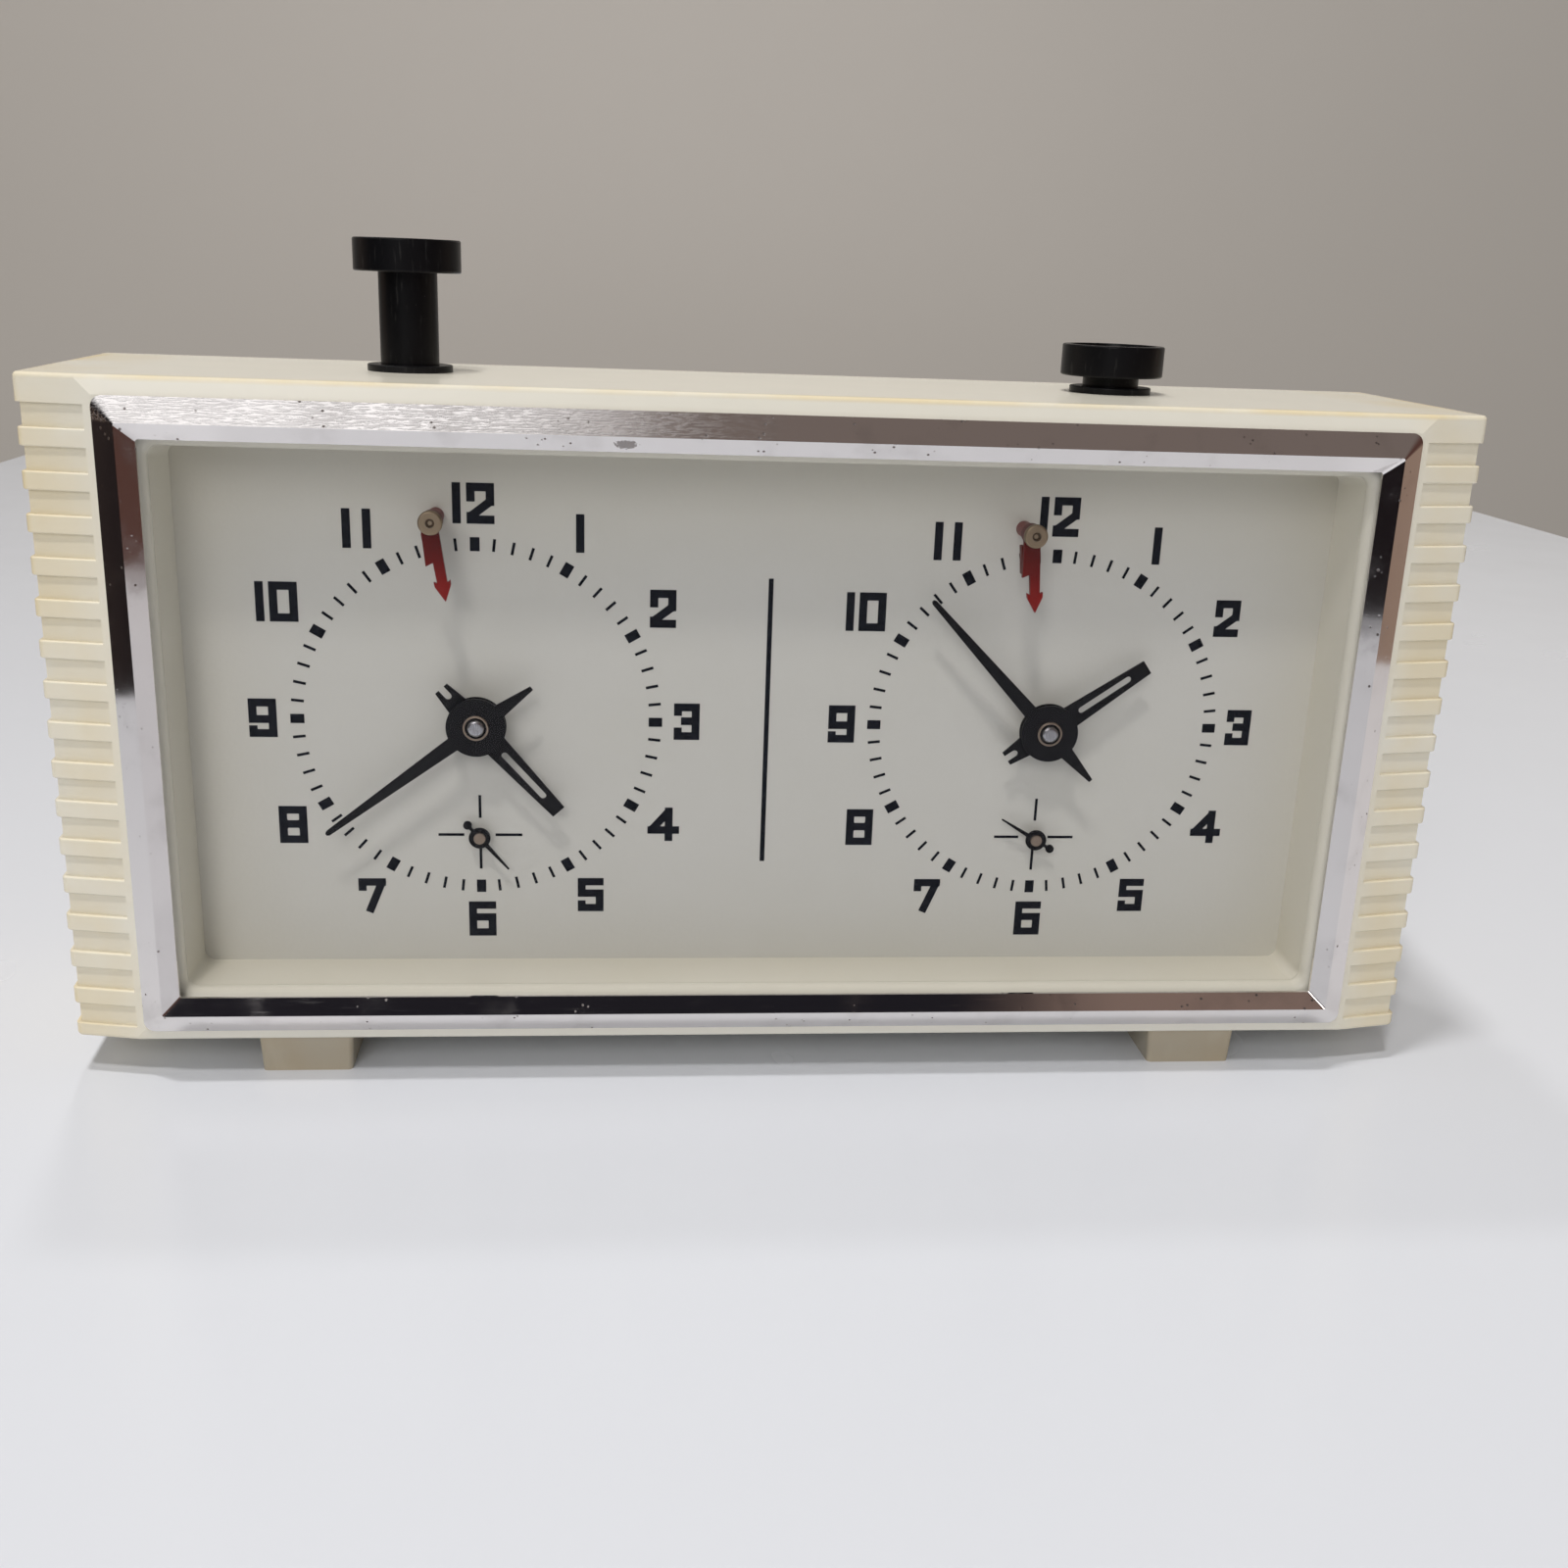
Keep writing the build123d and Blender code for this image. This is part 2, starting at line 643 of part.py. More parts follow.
turn = radians(rocker_angle)
rocker_plane = Plane(
    origin=(0, plunger_y + rocker_sheet / 2, pivot_z),
    x_dir=(cos(turn), 0, -sin(turn)),
    z_dir=(0, -1, 0),
)
arm_end = plunger_x + rocker_pad_length / 2
pad_start = arm_end - rocker_pad_length - 1
with BuildPart() as rocker_lever:
    with BuildSketch(rocker_plane):
        with BuildLine():
            Polyline(
                (-arm_end, 0),
                (-pad_start, 0),
                (-20, 2.6),
                (20, 2.6),
                (pad_start, 0),
                (arm_end, 0),
                (arm_end, -3.5),
                (20, -rocker_hub),
                (-20, -rocker_hub),
                (-arm_end, -3.5),
                close=True,
            )
        make_face()
        Circle(rocker_hub + 1.6)
    extrude(amount=rocker_sheet)
    # hub tube towards the mounting plate, and the bent pads under the plungers
    with BuildSketch(rocker_plane.offset(rocker_sheet)):
        Circle(rocker_hub)
    extrude(amount=rocker_seat_y * -1 + plunger_y - rocker_sheet / 2 - 0.1)
    with BuildSketch(rocker_plane.offset((rocker_sheet - rocker_pad_width) / 2)):
        for x in (-plunger_x, plunger_x):
            with Locations((x, -rocker_sheet / 2)):
                Rectangle(rocker_pad_length, rocker_sheet)
    extrude(amount=rocker_pad_width)
    bar(0, pivot_z, rocker_journal + bearing_gap, rocker_seat_y - 1, plunger_y + 2, Mode.SUBTRACT)
save(rocker_lever, "rocker_lever")

with BuildPart() as rocker_pivot:
    journal_end = plunger_y + rocker_sheet / 2 + 0.1
    bar(0, pivot_z, rocker_journal, rocker_seat_y, journal_end)
    bar(0, pivot_z, rocker_hub - 0.8, journal_end, journal_end + 1.4)
    bar(0, pivot_z, screw_radius, rocker_seat_y - 8, rocker_seat_y)
    with Locations((0, journal_end + 1.4, pivot_z)):
        Box(6.0, 1.0, 0.8, mode=Mode.SUBTRACT)
save(rocker_pivot, "rocker_pivot")

# brake wires: each hangs from the rocker and meets the rim of its balance when that side is down
wire_radius = 0.4
rim_y = train_y + 12.8
rim_width = 1.4
wire_y = rim_y + rim_width / 2
meet = balance_radius + wire_radius + rest_gap
meet_x = -(movement_x - balance_at[0]) - meet * sin(radians(45))
meet_z = dial_z + balance_at[1] + meet * cos(radians(45)) - pivot_z
wire_x = -(meet_x * cos(turn) + meet_z * sin(turn))
wire_low = -meet_x * sin(turn) + meet_z * cos(turn)
with BuildPart() as brake_springs:
    for x in (-wire_x, wire_x):
        with BuildSketch(rocker_plane.offset(plunger_y + rocker_sheet / 2 - wire_y)):
            with Locations((x, (wire_low - 1.0) / 2)):
                SlotOverall(-wire_low - 1.0 + 2 * wire_radius, 2 * wire_radius, rotation=90)
        extrude(amount=wire_radius, both=True)
        with BuildSketch(rocker_plane):
            with Locations((x, -1.2)):
                Circle(0.9)
        extrude(amount=plunger_y + rocker_sheet / 2 - wire_y - wire_radius)
save(brake_springs, "brake_springs")

# ---------------------------------------------------------------- movement frames
back_level = {"great": 4.3, "drum": 11.8, "centre": 2.3, "centre_pinion": 4.8, "third_pinion": 3.1,
              "third": 5.8, "fourth_pinion": 6.4, "fourth": 8.5, "escape_pinion": 9.0, "escape": 11.4,
              "pallet": 11.8, "hairspring": 15.2}
frame_holes = (barrel_at, third_at, fourth_at, escape_at, pallet_at, balance_at)
plate_left, plate_right, plate_low, plate_high = -31.0, 40.5, -32.5, 28.5
spacer_gap = 0.1


def frame_outline(sign, y):
    """Outline of a movement plate with its back face at depth y."""
    with BuildSketch(facing(y)) as outline:
        with Locations(place(sign, (plate_left + plate_right) / 2, (plate_low + plate_high) / 2)):
            RectangleRounded(plate_right - plate_left, plate_high - plate_low, 4)
    return outline.sketch.faces()[0]


for side, sign in sides:
    with BuildPart() as front_plate:
        extrude(frame_outline(sign, train_y), amount=movement_sheet)
        bar(*place(sign, 0, 0), through_radius + bearing_gap, front_plate_y - 1, train_y + 1, Mode.SUBTRACT)
        for spot in frame_holes:
            bar(*place(sign, *spot), pivot_radius + bearing_gap, front_plate_y - 1, train_y + 1,
                Mode.SUBTRACT)
        bar(*place(sign, *fourth_at), arbor_radius + bearing_gap, front_plate_y - 1, train_y + 1,
            Mode.SUBTRACT)
        bar(*place(sign, *barrel_at), 1.0 + bearing_gap, front_plate_y - 1, train_y + 1, Mode.SUBTRACT)
        for spot in pillar_places:
            bar(*place(sign, *spot), pillar_radius + bearing_gap, front_plate_y - 1, train_y + 1,
                Mode.SUBTRACT)
        bar(*place(sign, *motion_at), arbor_radius, plate_back_y + 0.3, front_plate_y)
    save(front_plate, f"front_plate_{side}")

    with BuildPart() as back_plate:
        extrude(frame_outline(sign, rear_y), amount=movement_sheet)
        bar(*place(sign, *balance_at), 1.2, rear_y, rear_y + 1.4)
        bar(*place(sign, 0, 0), through_radius + bearing_gap, back_plate_y - 1, rear_y + 1, Mode.SUBTRACT)
        for spot in frame_holes:
            bar(*place(sign, *spot), pivot_radius + bearing_gap, back_plate_y - 1, rear_y + 1,
                Mode.SUBTRACT)
        bar(*place(sign, *barrel_at), winding_radius + bearing_gap, back_plate_y - 1, rear_y + 1,
            Mode.SUBTRACT)
        for spot in pillar_places:
            bar(*place(sign, *spot), pillar_neck + bearing_gap, back_plate_y - 1, rear_y + 1,
                Mode.SUBTRACT)
    save(back_plate, f"back_plate_{side}")

with BuildPart() as movement_pillars:
    for side, sign in sides:
        for spot in pillar_places:
            x, z = place(sign, *spot)
            bar(x, z, pillar_shoulder, plate_back_y, front_plate_y)
            bar(x, z, pillar_radius, front_plate_y, back_plate_y)
            bar(x, z, pillar_neck, back_plate_y, rear_y)
            with BuildSketch(facing(rear_y + nut_height)):
                with Locations((x, z)):
                    RegularPolygon(nut_radius, 6)
            extrude(amount=nut_height)
save(movement_pillars, "movement_pillars")

# ---------------------------------------------------------------- gear train
tooth_tip, tooth_root = 0.42, 0.62      # height and depth of a tooth, in modules


def tooth_points(teeth, module, phase):
    """Corners of a toothed outline about its centre, with one tooth at the phase angle."""
    radius = teeth * module / 2
    pitch = 2 * pi / teeth
    corners = []
    for step in range(teeth):
        middle = radians(phase) + step * pitch
        for reach, turn_by in (
            (radius - tooth_root * module, -0.27),
            (radius, -0.2),
            (radius + tooth_tip * module, -0.08),
            (radius + tooth_tip * module, 0.08),
            (radius, 0.2),
            (radius - tooth_root * module, 0.27),
        ):
            angle = middle + turn_by * pitch
            corners.append((reach * cos(angle), reach * sin(angle)))
    return corners


def line_angle(start, end):
    """Direction from one centre to another, seen from the front."""
    return degrees(atan2(end[1] - start[1], end[0] - start[0]))


def meshed(teeth, next_teeth, direction):
    """Phase that sets a second gear's teeth in the gaps of a first gear of phase zero."""
    past_tooth = (direction * teeth / 360) % 1
    return direction + 180 + (past_tooth + 0.5) * 360 / next_teeth


def pinion(centre, teeth, module, phase, y, length):
    """Small solid gear with its back face at depth y."""
    with BuildSketch(facing(y)) as outline:
        with Locations(centre):
            Polygon(*tooth_points(teeth, module, phase), align=None)
    extrude(outline.sketch.faces(), amount=length)


def wheel(centre, teeth, module, phase, y, thickness, hub):
    """Spoked gear wheel with its back face at depth y."""
    radius = teeth * module / 2
    with BuildSketch(facing(y)) as outline:
        with Locations(centre):
            Polygon(*tooth_points(teeth, module, phase), align=None)
            Circle(radius - 3.2 * module, mode=Mode.SUBTRACT)
            Rectangle(2 * radius - 5 * module, 1.3)
            Rectangle(1.3, 2 * radius - 5 * module)
            Circle(hub)
    extrude(outline.sketch.faces(), amount=thickness)


def arbor(centre):
    """Train arbor with a pivot at each end."""
    bar(*centre, arbor_radius, train_y + spacer_gap, back_plate_y - spacer_gap)
    bar(*centre, pivot_radius, front_plate_y + 0.2, train_y + spacer_gap)
    bar(*centre, pivot_radius, back_plate_y - spacer_gap, rear_y - 0.2)


def spiral(centre, inner, outer, turns, strip, y, height):
    """Flat coiled strip between two radii, with its back edge at depth y."""
    steps = int(turns * 16)
    inside = []
    outside = []
    for step in range(steps + 1):
        angle = 2 * pi * step / 16
        reach = inner + (outer - strip - inner) * step / steps
        inside.append((reach * cos(angle), reach * sin(angle)))
        outside.append(((reach + strip) * cos(angle), (reach + strip) * sin(angle)))
    with BuildSketch(facing(y)) as outline:
        with Locations(centre):
            Polygon(*inside, *reversed(outside), align=None)
    extrude(outline.sketch.faces(), amount=height)


drum_radius = 15.0
drum_front = train_y + 4.8
drum_wall = 1.0
balance_rim = 1.3
escape_lean = 7.0
for side, sign in sides:
    centre = place(sign, 0, 0)
    barrel_spot = place(sign, *barrel_at)
    third_spot = place(sign, *third_at)
    fourth_spot = place(sign, *fourth_at)
    escape_spot = place(sign, *escape_at)
    pallet_spot = place(sign, *pallet_at)
    balance_spot = place(sign, *balance_at)

    with BuildPart() as barrel:
        with BuildSketch(facing(train_y + back_level["great"])):
            with Locations(barrel_spot):
                Polygon(*tooth_points(great_teeth, great_module, 0), align=None)
        extrude(amount=1.0)
        bar(*barrel_spot, drum_radius - 1, train_y + back_level["great"], drum_front)
        bar(*barrel_spot, drum_radius, drum_front, train_y + back_level["drum"])
        bar(*barrel_spot, drum_radius - drum_wall, drum_front + drum_wall,
            train_y + back_level["drum"] - drum_wall, Mode.SUBTRACT)
        bar(*barrel_spot, winding_radius + bearing_gap, train_y, back_plate_y, Mode.SUBTRACT)
    save(barrel, f"barrel_{side}")

    with BuildPart() as mainspring:
        spiral(barrel_spot, 3.4, drum_radius - drum_wall - 0.2, 9, 0.4,
               train_y + back_level["drum"] - drum_wall - 0.3, 4.4)
    save(mainspring, f"mainspring_{side}")

    with BuildPart() as centre_wheel:
        wheel(centre, centre_teeth, centre_module, 0, train_y + back_level["centre"], 1.0, 3.0)
        phase = meshed(great_teeth, centre_leaves, line_angle(barrel_spot, centre))
        pinion(centre, centre_leaves, great_module, phase, train_y + back_level["centre_pinion"], 2.0)
        bar(*centre, 2.3, train_y + 0.3, train_y + 6.0)
        bar(*centre, through_radius + bearing_gap, train_y, back_plate_y, Mode.SUBTRACT)
    save(centre_wheel, f"centre_wheel_{side}")

    with BuildPart() as third_wheel:
        arbor(third_spot)
        phase = meshed(centre_teeth, third_leaves, line_angle(centre, third_spot))
        pinion(third_spot, third_leaves, centre_module, phase, train_y + back_level["third_pinion"], 2.3)
        wheel(third_spot, third_teeth, third_module, 0, train_y + back_level["third"], 0.8, 2.2)
    save(third_wheel, f"third_wheel_{side}")

    with BuildPart() as fourth_wheel:
        arbor(fourth_spot)
        bar(*fourth_spot, arbor_radius, dial_y - indicator_level, train_y + 1)
        phase = meshed(third_teeth, fourth_leaves, line_angle(third_spot, fourth_spot))
        pinion(fourth_spot, fourth_leaves, third_module, phase,
               train_y + back_level["fourth_pinion"], 2.0)
        wheel(fourth_spot, fourth_teeth, fourth_module, 0, train_y + back_level["fourth"], 0.7, 2.0)
    save(fourth_wheel, f"fourth_wheel_{side}")

    with BuildPart() as escape_wheel:
        arbor(escape_spot)
        phase = meshed(fourth_teeth, escape_leaves, line_angle(fourth_spot, escape_spot))
        pinion(escape_spot, escape_leaves, fourth_module, phase,
               train_y + back_level["escape_pinion"], 1.8)
        points = []
        for step in range(escape_teeth):
            turn = 360 / escape_teeth * step
            for reach, ahead in ((4.7, -6.0), (escape_radius, escape_lean), (escape_radius, 9.5),
                                 (4.7, 6.0)):
                angle = radians(turn + ahead)
                points.append((reach * cos(angle), reach * sin(angle)))
        with BuildSketch(facing(train_y + back_level["escape"])):
            with Locations(escape_spot):
                Polygon(*points, align=None)
                Circle(3.7, mode=Mode.SUBTRACT)
                Rectangle(8.4, 1.0)
                Rectangle(1.0, 8.4)
                Circle(1.5)
        extrude(amount=0.6)
    save(escape_wheel, f"escape_wheel_{side}")

    with BuildPart() as pallet_lever:
        arbor(pallet_spot)
        to_escape = radians(line_angle(pallet_spot, escape_spot))
        to_balance = line_angle(pallet_spot, balance_spot)
        from_escape = line_angle(escape_spot, pallet_spot)
        pins = []
        for swing in (-36, 36):
            angle = radians(from_escape + swing)
            pin_reach = escape_radius + 0.9
            pins.append((escape_spot[0] + pin_reach * cos(angle), escape_spot[1] + pin_reach * sin(angle)))
        lever_y = train_y + back_level["pallet"] + 0.8
        fork = balance_reach - 0.9
        with BuildSketch(facing(lever_y)):
            with BuildLine():
                Line(pins[0], pallet_spot)
            trace(line_width=1.2)
            with BuildLine():
                Line(pins[1], pallet_spot)
            trace(line_width=1.2)
            with Locations(pallet_spot):
                Circle(1.6)
            for spread in (-5.0, 5.0):
                angle = radians(to_balance + spread)
                with BuildLine():
                    Line(pallet_spot, (pallet_spot[0] + fork * cos(angle),
                                       pallet_spot[1] + fork * sin(angle)))
                trace(line_width=0.8)
        extrude(amount=0.7)
        for x, z in pins:
            bar(x, z, 0.25, train_y + back_level["escape"] - 0.9, lever_y - 0.3)
    save(pallet_lever, f"pallet_lever_{side}")

    with BuildPart() as balance_wheel:
        bar(*balance_spot, arbor_radius, train_y + spacer_gap, back_plate_y - spacer_gap)
        bar(*balance_spot, pivot_radius, front_plate_y + 0.2, train_y + spacer_gap)
        bar(*balance_spot, pivot_radius, back_plate_y - spacer_gap, rear_y - 0.2)
        with BuildSketch(facing(rim_y + rim_width)):
            with Locations(balance_spot):
                Circle(balance_radius)
                Circle(balance_radius - balance_rim, mode=Mode.SUBTRACT)
        extrude(amount=rim_width)
        with BuildSketch(facing(rim_y + rim_width - 0.3)):
            with Locations(balance_spot):
                Rectangle(1.6, 2 * balance_radius - 1.2)
                Circle(1.9)
        extrude(amount=rim_width - 0.6)
        bar(*balance_spot, 1.0, rim_y + 0.5, train_y + back_level["hairspring"])
    save(balance_wheel, f"balance_wheel_{side}")

    with BuildPart() as hairspring:
        spiral(balance_spot, 1.3, 6.0, 6, 0.18, train_y + back_level["hairspring"], 0.6)
        stud_x = balance_spot[0] + 6.0 - 0.09
        bar(stud_x, balance_spot[1], 0.45, train_y + back_level["hairspring"] - 0.6, back_plate_y)
    save(hairspring, f"hairspring_{side}")

# ---------------------------------------------------------------- motion work and hands
hour_wheel_y = plate_back_y + 1.3
minute_wheel_y = plate_back_y + 3.9
tip_y = dial_y - minute_level - 0.7
knob_y = back_y + knob_standoff
for side, sign in sides:
    centre = place(sign, 0, 0)
    motion_spot = place(sign, *motion_at)
    fourth_spot = place(sign, *fourth_at)

    with BuildPart() as centre_arbor:
        bar(*centre, centre_arbor_radius, tip_y, front_plate_y - 0.4)
        dome = centre_arbor.edges().filter_by(GeomType.CIRCLE).sort_by(Axis.Y)[0]
        fillet(dome, 0.6)
        pinion(centre, cannon_leaves, cannon_module, 0, minute_wheel_y + 0.4, 1.6)
        bar(*centre, through_radius, front_plate_y - 0.4, knob_y + knob_length - 1.5)
    save(centre_arbor, f"centre_arbor_{side}")

    with BuildPart() as minute_wheel:
        phase = meshed(cannon_leaves, minute_teeth, line_angle(centre, motion_spot))
        wheel(motion_spot, minute_teeth, cannon_module, phase, minute_wheel_y, 0.8, 2.4)
        pinion(motion_spot, minute_leaves, hour_module, 0, minute_wheel_y - 0.8, 2.6)
        bar(*motion_spot, arbor_radius + bearing_gap, plate_back_y, front_plate_y, Mode.SUBTRACT)
    save(minute_wheel, f"minute_wheel_{side}")

    with BuildPart() as hour_wheel:
        phase = meshed(minute_leaves, hour_teeth, line_angle(motion_spot, centre))
        wheel(centre, hour_teeth, hour_module, phase, hour_wheel_y, 0.8, 3.4)
        bar(*centre, pipe_radius, dial_y - hour_level - 0.25, hour_wheel_y)
        bar(*centre, centre_arbor_radius + bearing_gap, tip_y, front_plate_y, Mode.SUBTRACT)
    save(hour_wheel, f"hour_wheel_{side}")

    with BuildPart() as hour_hand:
        with BuildSketch(dial_plane(centre[0], dial_y - hour_level + hand_sheet, centre[1],
                                    hour_angle[side])):
            Polygon((-2.15, 0), (2.15, 0), (1.225, hour_hand_length), (-1.225, hour_hand_length),
                    align=None)
            Polygon((-2.4, 0), (2.4, 0), (1.25, -fork_tail), (-1.25, -fork_tail), align=None)
            Circle(hub_radius)
            with Locations((0, 11.35)):
                SlotOverall(10.3, 1.1, rotation=90, mode=Mode.SUBTRACT)
            with Locations((0, -fork_tail)):
                SlotOverall(4.4, 1.2, rotation=90, mode=Mode.SUBTRACT)
            Circle(pipe_radius, mode=Mode.SUBTRACT)
        extrude(amount=hand_sheet)
    save(hour_hand, f"hour_hand_{side}")

    with BuildPart() as minute_hand:
        with BuildSketch(dial_plane(centre[0], dial_y - minute_level + hand_sheet, centre[1],
                                    minute_angle[side])):
            Polygon((-minute_blade / 2, 0), (minute_blade / 2, 0), (0.45, minute_hand_length - 0.4),
                    (0.2, minute_hand_length), (-0.2, minute_hand_length),
                    (-0.45, minute_hand_length - 0.4), align=None)
            Polygon((-1.75, 0), (1.75, 0), (0.35, -minute_tail), (-0.35, -minute_tail), align=None)
            Circle(hub_radius)
            Circle(centre_arbor_radius, mode=Mode.SUBTRACT)
        extrude(amount=hand_sheet)
        bush_y = dial_y - minute_level - 0.3
        bar(*centre, bush_radius, bush_y, dial_y - minute_level + hand_sheet + 0.25)
        rim = minute_hand.edges().filter_by(GeomType.CIRCLE).filter_by(
            lambda e: abs(e.center().Y - bush_y) < 0.01)
        fillet(rim, 0.12)
        bar(*centre, bush_radius - 0.35, bush_y - 1, bush_y + bush_recess, Mode.SUBTRACT)
        bar(*centre, centre_arbor_radius, tip_y, dial_y, Mode.SUBTRACT)
    save(minute_hand, f"minute_hand_{side}")

    with BuildPart() as indicator_hand:
        with BuildSketch(dial_plane(fourth_spot[0], dial_y - indicator_level + hand_sheet,
                                    fourth_spot[1], indicator_angle[side])):
            Polygon((-0.4, 0), (0.4, 0), (0.12, indicator_length), (-0.12, indicator_length),
                    align=None)
            with Locations((0, -1.5)):
                Rectangle(0.5, 3.0)
            with Locations((0, -3.0)):
                Circle(0.72)
            Circle(1.8)
        extrude(amount=hand_sheet)
        bar(*fourth_spot, 0.95, dial_y - indicator_level, dial_y - 0.5)
        bar(*fourth_spot, 0.95, dial_y - indicator_level - 0.35, dial_y - indicator_level)
        bar(*fourth_spot, arbor_radius, dial_y - indicator_level, dial_y, Mode.SUBTRACT)
    save(indicator_hand, f"indicator_hand_{side}")

    with BuildPart() as flag:
        pin_x = centre[0] + flag_x
        pin_z = centre[1] + flag_rise
        thickness = 0.8
        flag_plane = dial_plane(pin_x, dial_y - flag_level + thickness, pin_z, 180 - flag_lean[side])
        with BuildSketch(flag_plane):
            Polygon((-0.95, 0), (0.95, 0), (0.78, flag_length - 3.0), (1.3, flag_length - 3.3),
                    (1.25, flag_length - 2.5), (0, flag_length), (-1.25, flag_length - 2.5),
                    (-1.3, flag_length - 3.3), (-0.78, flag_length - 3.0), align=None)
            Circle(flag_tube)
        extrude(amount=thickness)
        with BuildSketch(flag_plane):
            Polygon((0.4, 1.0), (1.7, 0.6), (2.05, 6.7), (0.6, 6.2), align=None)
        extrude(amount=thickness)
        with BuildSketch(flag_plane):
            with Locations((1.72, 4.0)):
                Rectangle(0.45, 4.6)
        extrude(amount=minute_level + rest_gap - flag_level + thickness)
        bar(pin_x, pin_z, flag_tube, dial_y - flag_level, dial_y - minute_level - rest_gap)
        bar(pin_x, pin_z, flag_pin_radius + bearing_gap, dial_y - flag_level - 1, dial_y, Mode.SUBTRACT)
    save(flag, f"flag_{side}")

with BuildPart() as flag_pins:
    for side, sign in sides:
        x = sign * movement_x + flag_x
        z = dial_z + flag_rise
        bar(x, z, flag_pin_radius, dial_y - pin_head_level, plate_back_y + 0.4)
        bar(x, z, 1.2, plate_back_y, plate_back_y + 0.5)
        bar(x, z, 1.3, dial_y - minute_level + 0.1, dial_y)
        bar(x, z, flag_head_radius, dial_y - pin_head_level, dial_y - flag_level - rest_gap)
    head_rims = flag_pins.edges().filter_by(GeomType.CIRCLE).filter_by(
        lambda e: abs(e.radius - flag_head_radius) < 0.01
        and abs(e.center().Y - dial_y + pin_head_level) < 0.01)
    fillet(head_rims, 0.3)
    for side, sign in sides:
        bar(sign * movement_x + flag_x, dial_z + flag_rise, 0.7, dial_y - pin_head_level - 0.1,
            dial_y - pin_head_level + 0.4, Mode.SUBTRACT)
save(flag_pins, "flag_pins")

# ---------------------------------------------------------------- keys, knobs, regulators, clicks
key_start = back_y - 3.0
key_end = key_start + key_hub_length
ratchet_y = rear_y + 0.5
ratchet_radius = 5.5
ratchet_teeth = 18
for side, sign in sides:
    centre = place(sign, 0, 0)
    barrel_spot = place(sign, *barrel_at)
    balance_spot = place(sign, *balance_at)

    with BuildPart() as winding_key:
        bar(*barrel_spot, 1.0, front_plate_y + 0.2, train_y + spacer_gap)
        bar(*barrel_spot, winding_radius, train_y + spacer_gap, key_start + 1)
        points = []
        for step in range(ratchet_teeth):
            for reach, ahead in ((ratchet_radius - 0.8, 0.0), (ratchet_radius, 0.85)):
                angle = 2 * pi * (step + ahead) / ratchet_teeth
                points.append((reach * cos(angle), sign * reach * sin(angle)))
        with BuildSketch(facing(ratchet_y + 1.2)):
            with Locations(barrel_spot):
                Polygon(*points, align=None)
        extrude(amount=1.2)
        bar(*barrel_spot, key_hub_radius, key_start, key_end)
        with BuildSketch(Plane.XY.offset(barrel_spot[1])):
            for reach in (-1, 1):
                wing_hole_x = barrel_spot[0] + reach * (key_wing_span / 2 - 5.5)
                with Locations((wing_hole_x, back_y + key_reach - 5.5)):
                    Circle(5.5)
            with Locations((barrel_spot[0], key_end + 1.5)):
                Rectangle(key_wing_span - 14, 5)
        extrude(amount=key_wing_thickness / 2, both=True)
        for reach in (-1, 1):
            with Locations((barrel_spot[0] + reach * (key_wing_span / 2 - 5.5), back_y + key_reach - 5.5,
                            barrel_spot[1])):
                Cylinder(2.4, 4, mode=Mode.SUBTRACT)
    save(winding_key, f"winding_key_{side}")

    with BuildPart() as setting_knob:
        bar(*centre, knob_radius, knob_y, knob_y + knob_length)
        bar(*centre, through_radius + 0.8, knob_y - 3.0, knob_y)
        end_rims = setting_knob.edges().filter_by(GeomType.CIRCLE).filter_by(
            lambda e: abs(e.radius - knob_radius) < 0.01)
        fillet(end_rims, 0.5)
        for step in range(knob_grooves):
            angle = 2 * pi * step / knob_grooves
            bar(centre[0] + knob_radius * cos(angle), centre[1] + knob_radius * sin(angle), 0.45,
                knob_y - 0.5, knob_y + knob_length + 0.5, Mode.SUBTRACT)
        bar(*centre, through_radius, knob_y - 4, knob_y + knob_length - 1.5, Mode.SUBTRACT)
    save(setting_knob, f"setting_knob_{side}")

    with BuildPart() as regulator:
        with BuildSketch(facing(rear_y + 1.1)):
            with Locations(balance_spot):
                Circle(3.0)
            with Locations((balance_spot[0], balance_spot[1] - regulator_arm / 2)):
                Rectangle(2.2, regulator_arm)
            with Locations((balance_spot[0], balance_spot[1] - regulator_arm)):
                Circle(1.1)
            with Locations(balance_spot):
                Circle(1.2 + bearing_gap, mode=Mode.SUBTRACT)
        extrude(amount=0.8)
        bar(balance_spot[0], balance_spot[1] - regulator_arm, 0.8, rear_y + 0.3, back_y + 2.0)
    save(regulator, f"regulator_{side}")

with BuildPart() as ratchet_clicks:
    for side, sign in sides:
        x, z = place(sign, *barrel_at)
        stand = ratchet_radius + rest_gap
        with BuildSketch(facing(ratchet_y + 1.1)):
            with Locations((x + sign * (stand + 0.4), z + 4.5)):
                Rectangle(0.8, 9.0)
            with Locations((x + sign * (stand + 0.4), z + 9.5)):
                Circle(1.8)
        extrude(amount=1.0)
        bar(x + sign * (stand + 0.4), z + 9.5, 1.8, rear_y, ratchet_y + 1.1)
save(ratchet_clicks, "ratchet_clicks")
